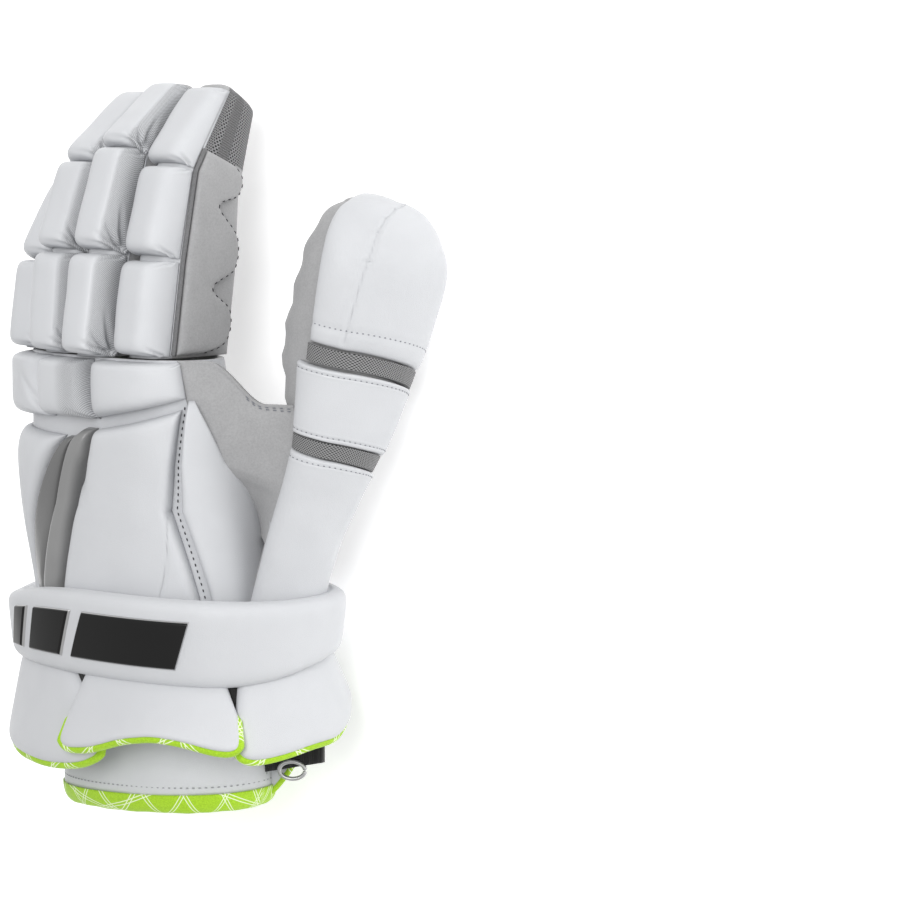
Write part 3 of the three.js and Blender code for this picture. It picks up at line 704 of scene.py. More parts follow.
class Patch:
    """The outside and the inside of a sheet, as grids over shares u along and v across."""

    def __init__(self, u, v, outer, inner, uv, rim):
        self.u, self.v, self.outer, self.inner, self.uv = u, v, outer, inner, uv
        self.rim, self.marks = rim, {"rim": rim}

    def normals(self):
        down = np.gradient(self.outer, axis=0)
        across = np.gradient(self.outer, axis=1)
        normal = unit(np.cross(across, down))
        return normal * np.sign(np.sum(normal * (self.outer - self.inner), axis=-1).mean())

    def on(self, u, v):
        """Points and normals of the outside at shares u along and v across."""
        row = np.interp(u, self.u, np.arange(len(self.u)))
        column = np.interp(v, self.v, np.arange(len(self.v)))
        i = np.clip(row.astype(int), 0, len(self.u) - 2)
        j = np.clip(column.astype(int), 0, len(self.v) - 2)
        a, b = (row - i)[:, None], (column - j)[:, None]

        def at(grid):
            top = grid[i, j] * (1 - b) + grid[i, j + 1] * b
            return top * (1 - a) + (grid[i + 1, j] * (1 - b) + grid[i + 1, j + 1] * b) * a

        return at(self.outer), at(self.normals())

    def build(self, name, material):
        return slab(name, self.outer, self.inner, material, self.uv, self.marks)


class Pad(Patch):
    """A padded patch of a tube. lines are (place at one side, place at the other, from, to degrees)."""

    def __init__(self, tube, lines, height=1.0, power=(9, 9), grid=(33, 33), lift=0.0008, least=0.001,
                 creases=(), lumps=0.0003, seed=0, bow=0.0, ease=0.75):
        self.u, self.v = shares(grid[0], ease), shares(grid[1], ease)
        u, v = np.meshgrid(self.u, self.v, indexing="ij")
        bowed = u + bow * (1 - (2 * v - 1) ** 2) * (1 - 2 * u)
        along, degrees = blended(lines, bowed, v)
        full = pillow(u, power[0]) * pillow(v, power[1])
        self.inner = tube.lifted(along, degrees, lift, np.zeros_like(u), 0.0, 0.0)
        self.outer = tube.lifted(along, degrees, lift, full, least, height)
        middle = self.outer[grid[0] // 2], self.outer[:, grid[1] // 2]
        across, down = (np.linalg.norm(np.diff(line, axis=0), axis=1).sum() for line in middle)
        self.size = (down, across)
        self.rim = 1 - full
        self.uv = np.stack([v * across, u * down], axis=-1)
        normals = self.normals()
        relief = -crease_depth(u, v, self.size, creases)
        seams = [(a, b, deep, wide * SEAM_WIDTH) for a, b, deep, wide in creases if deep < 0]
        line = crease_depth(u, v, self.size, seams) / max([1e-9] + [-seam[2] for seam in seams])
        self.rim = np.maximum(self.rim, np.clip(line, 0, 1) * SEAM_SHADE)
        relief += lumps * self.lumps(seed) * full
        self.outer = self.outer + normals * relief[..., None]
        self.outer[..., 2] = np.maximum(self.outer[..., 2], 0)
        self.marks = {"rim": self.rim}

    def lumps(self, seed):
        shift = Vector((seed * 7.3, seed * 3.1, 0))
        flat = [noise.noise(Vector(p) * LUMP_SCALE + shift) for p in self.outer.reshape(-1, 3)]
        return np.array(flat).reshape(self.outer.shape[:2])


# %% [markdown]
# ## Sewing
# A stitch is a short bead of thread that dives into the cloth at both ends, so a row of them is many
# small ellipsoids along a line, joined into one mesh. Drawn on the leather they would be lost from the
# side, and real beads catch the light. A welt or a piping is a thin roll along an edge.

# %% Stitches and rolls
STITCH_SIDES = 6
STITCH_RINGS = [(-0.5, 0.0), (-0.38, 0.75), (0.0, 1.0), (0.38, 0.75), (0.5, 0.0)]
STITCH_STEP = 1e-4


def run_along(points):
    """The length along a line at each of its points."""
    return np.concatenate([[0], np.cumsum(np.linalg.norm(np.diff(points, axis=0), axis=1))])


def upright(way, up):
    """The directions up and aside of a line that heads along way."""
    up = unit(up - np.sum(up * way, axis=1, keepdims=True) * way)
    return up, np.cross(way, up)


def stitch_row(points, normals, length, gap, radius, lift):
    """Points and faces of one row of stitches along a line."""
    run = run_along(points)
    count = max(int(run[-1] / (length + gap)), 1)
    wanted = (np.arange(count) + 0.5) * run[-1] / count

    def at(values, shift=0.0):
        return np.stack([np.interp(wanted + shift, run, column) for column in values.T], axis=-1)

    way = unit(at(points, STITCH_STEP) - at(points, -STITCH_STEP))
    up, side = upright(way, at(normals))
    angles = np.linspace(0, 2 * math.pi, STITCH_SIDES, endpoint=False)
    bead = np.array([(x * length, c * radius * math.cos(a), c * radius * math.sin(a))
                     for x, c in STITCH_RINGS for a in angles])[None]
    beads = ((at(points) + up * lift)[:, None] + way[:, None] * bead[..., :1]
             + side[:, None] * bead[..., 1:2] + up[:, None] * bead[..., 2:])
    quads = ring_faces(len(STITCH_RINGS), STITCH_SIDES)
    faces = (quads[None] + (np.arange(count) * bead.shape[1])[:, None, None]).reshape(-1, 4)
    return beads.reshape(-1, 3), faces


def sew(name, rows, material, body_slot, length=0.0021, gap=0.0014, radius=0.0003, lift=0.0):
    """One piece of all the stitch rows given as (points, normals)."""
    points, faces, first = [], [], 0
    for line, normals in rows:
        p, f = stitch_row(line, normals, length, gap, radius, lift)
        points.append(p)
        faces.append(f + first)
        first += len(p)
    piece = make_object(name, np.concatenate(points), np.concatenate(faces), material)
    return place_piece(piece, body_slot)


def roll(name, line, radius, material, body_slot, sides=10, flat=1.0, normals=None):
    """A thin roll along a line, tapered to a point at both ends."""
    line = np.asarray(line, float)
    straight_up = np.array([[0.0, 0.0, 1.0]])
    up, side = upright(unit(np.gradient(line, axis=0)), straight_up if normals is None else normals)
    angles = np.linspace(0, 2 * math.pi, sides, endpoint=False)
    ends = np.ones(len(line))
    ends[[0, -1]] = 0.15
    reach = radius * ends[:, None, None]
    ring = side[:, None] * np.cos(angles)[:, None] + up[:, None] * np.sin(angles)[:, None] * flat
    points = (line[:, None] + ring * reach).reshape(-1, 3)
    uv = np.stack(np.broadcast_arrays(angles * radius, run_along(line)[:, None]), axis=-1).reshape(-1, 2)
    faces = [tuple(f) for f in outward(points, ring_faces(len(line), sides))]
    faces += [tuple(range(sides))[::-1], tuple((len(line) - 1) * sides + k for k in range(sides))]
    piece = make_object(name, points, faces, material, uv, {"rim": np.zeros(len(points))})
    return place_piece(piece, body_slot)


def place_piece(piece, body_slot, replaced=()):
    """Every piece rides on the one body and may stand for CAD nodes. body_slot is not used."""
    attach(piece, "root")
    if replaced:
        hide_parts(*replaced)
    return piece


# %% [markdown]
# ## Fingers
# Each finger is a suede sleeve under a white cover, with three foam pads on its back. The cover shows in
# the gaps between the pads. The pads of the middle, ring and little fingers have the diagonal weave on
# their thumb side, and their cloth is pinched at the corner where two pads meet.

# %% Finger pads
PAD_SEAM = 0.02
PAD_EDGES = (25, 178)
WEAVE_FROM, RING_SEAM = 66, 150
PINCHES = [
    ((0.03, 0.04), (0.30, 0.30), 0.0022, 0.0010),
    ((0.03, 0.06), (0.15, 0.40), 0.0018, 0.0009),
    ((0.01, 0.16), (0.06, 0.50), 0.0012, 0.0008),
    ((0.05, 0.02), (0.46, 0.10), 0.0013, 0.0010),
    ((0.98, 0.04), (0.90, 0.34), 0.0011, 0.0009),
]
SMALL_PINCHES = [
    ((0.02, 0.05), (0.10, 0.22), 0.0011, 0.0008),
    ((0.01, 0.12), (0.04, 0.40), 0.0007, 0.0007),
    ((0.98, 0.05), (0.92, 0.26), 0.0010, 0.0008),
]


def press_seam(pad, degrees, at, wide, deep):
    """Presses a seam into a pad along one angle round its finger."""
    seam = np.exp(-(((degrees - at) / wide) ** 2)) * (1 - pad.rim)
    pad.outer -= pad.normals() * (deep * seam)[..., None]


def finger_pad(finger, part, index):
    tube = finger_tubes[finger]
    first, last = PAD_EDGES
    lines = [(index + PAD_SEAM, index + PAD_SEAM, first, last),
             (index + 1 - PAD_SEAM, index + 1 - PAD_SEAM, first, last)]
    woven = finger != "index"
    seed = list(FINGERS).index(finger) * 3 + index
    creases = PINCHES if woven else SMALL_PINCHES
    pad = Pad(tube, lines, power=(10, 9), grid=(41, 61), creases=creases, seed=seed, lumps=0.0005,
              bow=0.004 if woven else 0.012)
    degrees = np.tile(first + (last - first) * pad.v, (len(pad.u), 1))
    if woven:
        # past the weave's edge the mark keeps rising, and the material paints that rise as shade
        pad.marks["weave"] = np.clip(0.42 + (WEAVE_FROM - degrees) / 60, 0, 1)
        press_seam(pad, degrees, WEAVE_FROM, 1.6, 0.00035)
    if finger == "ring":
        press_seam(pad, degrees, RING_SEAM, 1.8, 0.0008)
    piece = pad.build(f"{finger}_{part}_cushion", pad_weave if woven else pad_leather)
    place_piece(piece, "shell_leather", [f"{finger}_{part}_pad"])
    return pad


finger_pads = {}
for finger in FINGERS:
    for index, part in enumerate(("base", "middle", "tip")):
        finger_pads[finger, part] = finger_pad(finger, part, index)
print("finger pads:", len(finger_pads))


# %% Finger sleeves and covers
def sleeve(name, tube, material, dome, start=0.0, steps=40, sides=48, knit=None):
    """A suede sleeve with a wall, open at its root and closed by a round tip."""
    t = np.linspace(start, tube.last, steps + 1)
    angles = np.arange(sides) * 360 / sides
    heading = np.array([0, math.cos(tube.turn["lean"][-1]), -math.sin(tube.turn["lean"][-1])])
    bends = np.radians([15, 30, 45, 60, 74, 84])

    def layer(inset):
        rings = list(tube.skin(t[:, None], angles[None, :], inset))
        end, middle = rings[-1], tube.middle[-1]
        reach = tube.curves["skin"][-1, 0] * dome - inset
        for bend in bends:
            rings.append(middle + (end - middle) * math.cos(bend) + heading * reach * math.sin(bend))
        rings = np.array(rings)
        rings[..., 2] = np.maximum(rings[..., 2], inset)
        return rings, middle + heading * reach

    outer, outer_tip = layer(0.0)
    inner, inner_tip = layer(WALL)
    count = len(outer)
    points = np.concatenate([outer.reshape(-1, 3), inner.reshape(-1, 3), [outer_tip, inner_tip]])
    half = count * sides
    faces = np.concatenate([ring_faces(count, sides), ring_faces(count, sides, half, True)]).tolist()
    tip = (count - 1) * sides
    for k in range(sides):
        j = (k + 1) % sides
        faces.append((tip + k, tip + j, 2 * half))
        faces.append((half + tip + j, half + tip + k, 2 * half + 1))
        faces.append((j, k, half + k, half + j))
    run = np.concatenate([t / tube.last, 1 + bends / 10])
    girth = np.linalg.norm(np.diff(outer[len(t) // 2], axis=0), axis=1).mean()
    length = np.linalg.norm(tube.middle[-1] - tube.middle[0])
    uv = np.stack(np.meshgrid(np.arange(sides) * girth, run * length), axis=-1).reshape(-1, 2)
    uv = np.concatenate([uv, uv, [[0, length * 1.2]] * 2])
    marks = {"rim": np.zeros(len(points))}
    if knit is not None:
        low, first, last = knit
        turned = (np.tile(angles, count) + 180) % 360 - 180
        along = np.repeat(np.concatenate([t, tube.last + bends]), sides)
        low = low + 0.1 * np.abs(turned) / 60
        mask = ((along > low) & (turned > first) & (turned < last)).astype(float)
        marks["knit"] = np.concatenate([mask, mask, [1.0, 1.0]])
    signed = outward(points, np.array([f[:3] for f in faces]))
    if not np.array_equal(signed[0], faces[0][:3]):
        faces = [f[::-1] for f in faces]
    return make_object(name, points, faces, material, uv, marks)


COVER_EDGES = (22, 180)


def finger_cover(finger):
    """The white cover between the sleeve and its pads."""
    tube = finger_tubes[finger]
    first, last = COVER_EDGES
    pad = Pad(tube, [(0.0, 0.0, first, last), (3.0, 3.0, first, last)], height=0.0, lift=0.0001,
              least=0.0005, grid=(31, 31), lumps=0.0, ease=0.2)
    place_piece(pad.build(f"{finger}_cover", pad_leather), "shell_leather")


for finger, tube in finger_tubes.items():
    knit = (2.22, -75, 26) if finger == "index" else None
    piece = sleeve(f"{finger}_suede", tube, tip_suede if knit else gray_suede, 0.5, knit=knit)
    place_piece(piece, "suede", [f"{finger}_sleeve"])
    finger_cover(finger)
print("finger sleeves:", len(finger_tubes))

# %% [markdown]
# ### The thumb side of the index finger
# The side of the index finger that faces the thumb is bare suede. A second layer with a wavy outline is
# stitched on where the stick rubs, and a raw suede welt runs along the seam of the pads.

# %% Index overlay and welt
OVERLAY_WAVES = [
    # place along the finger, outer degrees of the overlay's edge
    (0.02, 8), (0.06, -12), (0.12, -26), (0.20, -36), (0.36, -42), (0.55, -34), (0.66, -10),
    (0.76, -4), (0.86, -10), (1.0, -36), (1.22, -46), (1.42, -40), (1.62, -8), (1.72, -4),
    (1.80, -8), (1.95, -38), (2.12, -44), (2.22, -30), (2.27, -8),
]
OVERLAY_INNER = 16
OVERLAY_BULGE = 0.0027


def overlay_patch():
    """A patch of the index finger whose outer edge follows the waves."""
    tube = finger_tubes["index"]
    at = np.array([row[0] for row in OVERLAY_WAVES])
    turn = np.array([row[1] for row in OVERLAY_WAVES], float)
    u = np.linspace(0, 1, 121)
    v = shares(21, 0.6)
    t = at[0] + (at[-1] - at[0]) * u
    edge = np.interp(t, at, turn)
    soft = np.convolve(np.pad(edge, 3, mode="edge"), np.ones(7) / 7, mode="valid")
    degrees = soft[:, None] + (OVERLAY_INNER - soft[:, None]) * v[None, :]
    full = pillow(v[None, :], 5) * pillow(u[:, None], 26)
    along = np.broadcast_to(t[:, None], degrees.shape)
    lift = np.full(degrees.shape, 0.0001)
    inner, outer = (tube.lifted(along, degrees, lift, np.zeros_like(degrees), least, 0.0)
                    for least in (0.0, 0.0004))
    uv = np.stack(np.meshgrid(v * 0.03, t * 0.045), axis=-1)
    patch = Patch(u, v, outer, inner, uv, (1 - full) * 0.6)
    patch.outer = outer + patch.normals() * (OVERLAY_BULGE * full)[..., None]
    return patch


overlay = overlay_patch()
place_piece(overlay.build("index_side_layer", gray_suede), "suede", ["index_side_pad"])
walk = np.linspace(0.01, 0.99, 160)
rows = [overlay.on(walk, np.full(160, 0.10))]
sew("index_side_stitches", rows, black_thread, "suede",
    length=0.0019, gap=0.0022, radius=0.00034, lift=0.0001)


def tube_line(tube, t, degrees, lift):
    """A line over a tube's skin through places and angles, with its normals."""
    points = tube.lifted(t, degrees, np.full(len(t), lift), np.zeros(len(t)), 0.0, 0.0)
    return points, unit(tube.curve(t, degrees, "shell") - tube.curve(t, degrees, "skin"))


line, normals = tube_line(finger_tubes["index"], np.linspace(0.02, 2.28, 120), np.full(120, 19.0), 0.0012)
roll("index_welt", line, 0.0013, edge_suede, "suede", normals=normals, flat=0.7)
rows = [tube_line(finger_tubes["index"], np.linspace(0.02, 2.25, 120), np.full(120, 14.5), 0.0023)]
sew("index_welt_stitches", rows, black_thread, "suede", length=0.0022, gap=0.0016, radius=0.0003)
print("index side layer:", len(OVERLAY_WAVES), "points on its edge")

# %% [markdown]
# ## Back of the hand
# The hand is a suede tube, white on its back. Five pads lie over it: the main plate, the thumb side, the
# outer side and two gray moulded inlays between them. The gaps between the pads are narrow channels with
# a line of dark stitches in them.

# %% Hand and its cover
HAND_STEPS, HAND_SIDES = 48, 96


def walled_tube(name, layer, steps, sides, material, uv_size, mark=None):
    """A tube with a wall, open at both ends. layer(share, degrees, side) gives its points."""
    share, degrees = np.linspace(0, 1, steps + 1)[:, None], (np.arange(sides) * 360 / sides)[None, :]
    outer, inner = layer(share, degrees, 1), layer(share, degrees, 0)
    points = np.concatenate([outer.reshape(-1, 3), inner.reshape(-1, 3)])
    half = (steps + 1) * sides
    skin = ring_faces(steps + 1, sides)
    k = np.arange(sides)
    j = (k + 1) % sides
    last = steps * sides
    first_rim = np.stack([j, k, half + k, half + j], axis=-1)
    last_rim = np.stack([last + k, last + j, half + last + j, half + last + k], axis=-1)
    faces = np.concatenate([skin, skin[:, ::-1] + half, first_rim, last_rim])
    uv = np.stack(np.broadcast_arrays(degrees / 360 * uv_size[0], share * uv_size[1]), axis=-1)
    uv = np.concatenate([uv.reshape(-1, 2)] * 2)
    rim = np.zeros(len(points)) if mark is None else np.concatenate([mark(share, degrees).ravel()] * 2)
    return make_object(name, points, outward(points, faces), material, uv, {"rim": rim})


def palm_layer(share, degrees, side):
    return hand.skin(share * hand.last, degrees, (1 - side) * WALL)


palm_piece = walled_tube("palm_suede", palm_layer, HAND_STEPS, HAND_SIDES, gray_suede, (0.3, HAND_LENGTH))
place_piece(palm_piece, "suede", ["palm"])
cover = Pad(hand, [(0.0, 0.0, -26, 200), (hand.last, hand.last, -26, 200)], height=0.0, lift=0.0001,
            least=0.0006, grid=(41, 61), lumps=0.0, ease=0.2)
place_piece(cover.build("hand_cover", pad_leather), "shell_leather")

# %% Back pads
BACK_PADS = {
    # name: height, power, material, lines of (share of length, share at the other side, from, to)
    "back_plate": (0.9, (16, 16), pad_leather, [
        (0.10, 0.10, 38, 112), (0.33, 0.33, 42, 108), (0.575, 0.575, 50, 93), (0.70, 0.70, 41, 88),
        (0.86, 0.79, 25, 83)]),
    "thumb_side_panel": (1.0, (14, 12), pad_leather, [
        (0.12, 0.12, -34, 30), (0.345, 0.345, -32, 34), (0.575, 0.575, -24, 42), (0.70, 0.70, 2, 35),
        (0.88, 0.88, 13, 18)]),
    "inlay_ridge": (0.8, (14, 4), ridge_gloss, [
        (0.14, 0.14, 115, 131), (0.33, 0.33, 111, 127), (0.575, 0.575, 95.5, 104), (0.79, 0.79, 85, 89)]),
    "inlay_blade": (0.55, (14, 6), blade_gloss, [
        (0.14, 0.14, 134, 148), (0.35, 0.35, 129, 147), (0.50, 0.50, 112, 133), (0.76, 0.76, 93, 96)]),
    "back_outer_pad": (0.85, (12, 9), pad_leather, [
        (0.12, 0.12, 150, 196), (0.35, 0.35, 149, 196), (0.50, 0.50, 135.5, 196), (0.76, 0.78, 99, 196)]),
}
PLATE_CREASES = [((0.02, 0.62), (0.5, 0.0), -0.0005, 0.0008)]
back_pads = {}
for order, (name, (height, power, material, lines)) in enumerate(BACK_PADS.items()):
    spots = [(places(HAND_ROWS, a), places(HAND_ROWS, b), c, d) for a, b, c, d in lines]
    creases = PLATE_CREASES if name == "back_plate" else ()
    pad = Pad(hand, spots, height=height, power=power, grid=(81, 61), creases=creases, seed=20 + order,
              lumps=0.0005 if material is pad_leather else 0.0)
    slot = "shell_leather" if material is pad_leather else "gray_inlay"
    place_piece(pad.build(f"{name}_cushion", material), slot, [name])
    back_pads[name] = pad


# share of the hand's length, degrees
CHANNEL = [(0.12, 34.5), (0.34, 38.5), (0.575, 46.5), (0.70, 38.5), (0.87, 22)]
at, degrees = table_at(CHANNEL, np.linspace(0, 1, 90))
sew("channel_stitches", [tube_line(hand, places(HAND_ROWS, at), degrees, 0.0010)], black_thread,
    "shell_leather", length=0.0015, gap=0.0015, radius=0.00030)
print("back pads:", ", ".join(back_pads))

# %% Knuckle pads
KNUCKLES = {
    # name: root at both sides, from, to, weave up to
    "index": ((0.885, 0.825), 20, 79, None),
    "middle": ((0.82, 0.82), 83, 102, 90),
    "ring": ((0.815, 0.80), 106, 190, None),
}
KNUCKLE_TIP = 0.99
KNUCKLE_CREASES = {
    "ring": [((0.1, 0.0), (0.7, 0.16), 0.0010, 0.0013), ((0.0, 0.05), (0.2, 0.35), 0.0006, 0.0009)],
    "middle": [((0.0, 0.0), (0.12, 0.3), 0.0008, 0.0009)],
    "index": [((0.98, 0.0), (0.8, 0.12), 0.0007, 0.0009)],
}
for order, (name, (root, first, last, weave)) in enumerate(KNUCKLES.items()):
    tip = places(HAND_ROWS, KNUCKLE_TIP)
    spots = [(*places(HAND_ROWS, root), first, last + 4), (tip, tip, first, last)]
    pad = Pad(hand, spots, power=(8, 8), grid=(41, 61), creases=KNUCKLE_CREASES[name], seed=30 + order,
              lumps=0.0006, bow=0.01)
    if weave:
        degrees = np.tile(first + (last - first) * pad.v, (len(pad.u), 1))
        # past the weave's edge the mark keeps rising, and the material paints that rise as shade
        pad.marks["weave"] = np.clip(0.42 + (weave - degrees) / 14, 0, 1)
    piece = pad.build(f"{name}_knuckle_cushion", pad_weave if weave else pad_leather)
    place_piece(piece, "shell_leather", [f"{name}_knuckle_pad"])
print("knuckle pads:", len(KNUCKLES))

# %% [markdown]
# ## Thumb
# The thumb is a suede sleeve with a long white cap. Two bands of knitted mesh lie where it bends. Beside
# each band the leather is turned under and stitched, which shows as a flat hem and a row of small stitches.

# %% Thumb sleeve and pieces
THUMB_EDGES = (-25, 142)
THUMB_PIECES = {
    # name: tip side, root side (shares at the outer side and at the hand), height, power, hem rows
    "thumb_tip_cap": ((1.025, 1.025), (0.608, 0.7), 1.0, (60, 8), (0.955,)),
    "thumb_band_upper": ((0.605, 0.697), (0.567, 0.659), 0.80, (60, 14), ()),
    "thumb_mid_section": ((0.565, 0.657), (0.415, 0.493), 1.0, (60, 9), (0.075, 0.925)),
    "thumb_band_lower": ((0.413, 0.491), (0.373, 0.453), 0.80, (60, 14), ()),
    "thumb_base_section": ((0.371, 0.451), (0.06, 0.06), 1.0, (60, 9), (0.035,)),
}
HEM_DEPTH, HEM_WIDTH = 0.00022, 0.0006
CAP_SEAM = [(0.11, 0.26), (0.15, 0.40), (0.21, 0.53), (0.36, 0.65), (0.52, 0.71), (0.73, 0.75), (0.98, 0.79)]
CAP_EDGE, BAND_EDGE = 129, 131
CAP_RISE = {"outer": 0.0036, "inner": 0.0020}
BULGE, BULGE_AT, BULGE_WIDE = 0.0065, 0.68, 0.14
RIPPLE, RIPPLE_TURNS, RIPPLE_FROM = 0.0012, 70, 0.4
thumb_pads = {}


def bulge_side(piece):
    """Pushes the suede on the hand's side of the thumb out, where its stuffing is."""
    flat = np.zeros(len(piece.data.vertices) * 3)
    piece.data.vertices.foreach_get("co", flat)
    points = flat.reshape(-1, 3)
    share = (points[:, 1] - THUMB_ROOT_Y) / THUMB_LENGTH
    middle = np.interp(points[:, 1], thumb.middle[:, 1], thumb.middle[:, 0])
    half = np.interp(points[:, 1], thumb.middle[:, 1], thumb.curves["skin"][:, 0])
    side = np.clip((middle - points[:, 0]) / half, 0, 1)
    points[:, 0] -= BULGE * side * np.exp(-(((share - BULGE_AT) / BULGE_WIDE) ** 2))
    points[:, 0] -= RIPPLE * side * np.sin(share * RIPPLE_TURNS) * (share > RIPPLE_FROM)
    piece.data.vertices.foreach_set("co", points.ravel())
    piece.data.update()


def round_tip(pad):
    """Draws the end of the cap in over the thumb's tip, like a dome."""
    parts = (0.06, 0.24, 0.4, 0.55, 0.7, 0.82, 0.92)
    pole = thumb.middle[-1]
    for layer, high in CAP_RISE.items():
        grid = getattr(pad, layer)
        first = grid[1] if layer == "inner" else grid[4]
        rows = [pole + (first - pole) * s + np.array([0, high, 0]) * (1 - s * s) for s in parts]
        setattr(pad, layer, np.concatenate([rows, grid[5:]]))
    pad.u = np.concatenate([np.linspace(0, pad.u[5], len(parts), endpoint=False), pad.u[5:]])
    pad.rim = np.concatenate([np.tile(pad.rim[5], (len(parts), 1)), pad.rim[5:]])
    pad.uv = np.concatenate([np.tile(pad.uv[5], (len(parts), 1, 1)), pad.uv[5:]])
    pad.marks = {"rim": pad.rim}


for order, (name, (tip, root, height, power, hems)) in enumerate(THUMB_PIECES.items()):
    first, last = THUMB_EDGES
    last = {"thumb_tip_cap": CAP_EDGE, "thumb_band_upper": BAND_EDGE}.get(name, last)
    spots = [(*places(THUMB_ROWS, ends), first, last) for ends in (tip, root)]
    band = "band" in name
    creases = [((hem, 0.0), (hem, 1.0), -HEM_DEPTH, HEM_WIDTH) for hem in hems]
    if name == "thumb_tip_cap":
        creases += [(a, b, -0.0005, 0.0009) for a, b in zip(CAP_SEAM, CAP_SEAM[1:])]
    grid = (17, 61) if band else (121, 141) if name == "thumb_tip_cap" else (101, 61)
    pad = Pad(thumb, spots, height=height, power=power, grid=grid, creases=creases, seed=40 + order,
              lumps=0.0 if band else 0.0006)
    if name == "thumb_tip_cap":
        round_tip(pad)
    material, slot = (band_mesh, "knit_mesh") if band else (pad_leather, "shell_leather")
    piece = place_piece(pad.build(f"{name}_cushion", material), slot, [name])
    thumb_pads[name] = pad
    rows = [pad.on(np.full(80, hem), np.linspace(0.02, 0.98, 80)) for hem in hems]
    if rows:
        sew(f"{name}_stitches", rows, gray_thread, "shell_leather", length=0.0009, gap=0.0016,
            radius=0.00028, lift=0.0)
piece = sleeve("thumb_suede", thumb, gray_suede, 0.25, start=places(THUMB_ROWS, 0.05), steps=70, sides=56)
bulge_side(piece)
place_piece(piece, "suede", ["thumb_sleeve"])
print("thumb pieces:", len(thumb_pads))

# %% [markdown]
# ## Web
# A sheet of suede joins the index finger's root to the thumb. It hangs a little between them, and its free
# edge is turned over and stitched twice. Straight lines between the two skins with a little sag give the
# sheet, and each row says where it leaves the hand and where it meets the thumb.

# %% Web
WEB_ROWS = [
    # place on the hand, degrees, place on the thumb, degrees round it
    (0.50, -32, 0.20, 146),
    (0.575, -18, 0.27, 144),
    (0.70, 8, 0.36, 143),
    (0.80, 15, 0.44, 142),
    (0.885, 19, 0.50, 144),
    (1.00, 20, 0.55, 150),
]
WEB_SAG = 0.004
WEB_SHEET, WEB_HEM, WEB_OVER = 0.0016, 0.0009, 0.0012


def web_patch():
    u, v = np.linspace(0, 1, 81), np.linspace(0, 1, 61)
    at, degrees, reach, turn = table_at(WEB_ROWS, u)
    a = hand.curve(places(HAND_ROWS, at), degrees, "skin")
    b = thumb.curve(places(THUMB_ROWS, reach), turn, "skin")
    share = v[None, :, None]
    points = a[:, None, :] * (1 - share) + b[:, None, :] * share
    early = np.clip((v - 0.20) / 0.5, 0, 1)
    early = early * early * (3 - 2 * early)
    drop = (b[:, 1] - a[:, 1])[:, None] * early[None, :] + a[:, 1][:, None]
    points[..., 1] += (drop - points[..., 1]) * (u**2)[:, None]
    sag = WEB_SAG * np.sin(math.pi * share[..., 0]) * (0.4 + 0.6 * u[:, None])
    points[..., 2] += WEB_OVER - sag
    hem = np.exp(-(((u - 1.0) / 0.03) ** 2))[:, None] * WEB_HEM
    outer = points.copy()
    outer[..., 2] += hem
    uv = np.stack(np.meshgrid(v * 0.05, u * 0.08), axis=-1)
    rim = np.broadcast_to(hem / WEB_HEM * 0.3, points.shape[:2]).copy()
    return Patch(u, v, outer, points - [0, 0, WEB_SHEET], uv, rim)


def stretched_sheet(piece, grid):
    """Takes the steps down and across a sheet's grid; nothing is done with them."""
    down, across = np.diff(grid, axis=0), np.diff(grid, axis=1)


web = web_patch()
stretched_sheet(place_piece(web.build("web_suede", gray_suede), "suede", ["web_panel"]), web.outer)
hem_rows = [web.on(np.full(70, place), np.linspace(0.52, 0.98, 70)) for place in (0.965, 0.94)]
sew("web_hem_stitches", hem_rows, gray_thread, "suede",
    length=0.0018, gap=0.0014, radius=0.00028, lift=0.0001)
print("web rows:", len(WEB_ROWS))

# %% [markdown]
# ### Leather below the web
# Below the suede the white leather of the hand runs on to the thumb. It is made as the web is, from rows
# between the two, but it lies as high as the pads beside it.

# %% Leather between hand and thumb
BRIDGE_ROWS = [
    # place on the hand, degrees, place on the thumb, degrees round it
    (0.02, -30, 0.0, 140),
    (0.20, -28, 0.06, 140),
    (0.40, -26, 0.18, 138),
    (0.56, -24, 0.26, 137),
]
BRIDGE_SHEET = 0.0015


def bridge():
    """The white leather that joins the thumb side panel to the thumb below the web."""
    u, v = np.meshgrid(np.linspace(0, 1, 61), np.linspace(0, 1, 31), indexing="ij")
    at, degrees, reach, turn = table_at(BRIDGE_ROWS, u[:, 0])
    a = hand.lifted(places(HAND_ROWS, at), degrees, 0.0, np.ones_like(at), 0.001, 0.93)
    b = thumb.lifted(places(THUMB_ROWS, reach), turn, 0.0, np.full_like(at, 0.4), 0.001, 0.93)
    outer = a[:, None] * (1 - v[..., None]) + b[:, None] * v[..., None]
    outer[..., 2] -= 0.0004 * np.sin(math.pi * v)
    rim = 1 - pillow(0.5 + u / 2, 40)
    uv = np.stack([v * 0.04, u * 0.08], axis=-1)
    piece = slab("thumb_root_cover", outer, outer - [0, 0, BRIDGE_SHEET], pad_leather, uv, {"rim": rim})
    stretched_sheet(place_piece(piece, "shell_leather"), outer)


bridge()

# %% [markdown]
# ## Cuff
# The strap is a thick foam band under smooth leather, rounded along both edges. Three plain raised bars
# with a bright edge lie on it. Below it three padded plates flare out, each with a lime piping along its
# lower edge, and black elastic shows between them.

# %% Cuff rings and strap
CUFF_POWER = 2.2
STRAP_NARROWS, STRAP_DIP = 0.28, 0.25
STRAP_FLARE, STRAP_FLOOR = 0.003, 0.003


def cuff_point(degrees, y, grow, floor=0.0):
    reach = CUFF_DEPTH / 2 + grow
    x, z = section_point(degrees, CUFF_WIDTH / 2 + grow, reach, reach, CUFF_POWER)
    x, y, z = np.broadcast_arrays(CUFF_X + x, y, np.maximum(CUFF_Z + z, floor))
    return np.stack([x, y, z], axis=-1)


def lobe(degrees, middle, power):
    return np.maximum(0, np.cos(np.radians(degrees - middle))) ** power


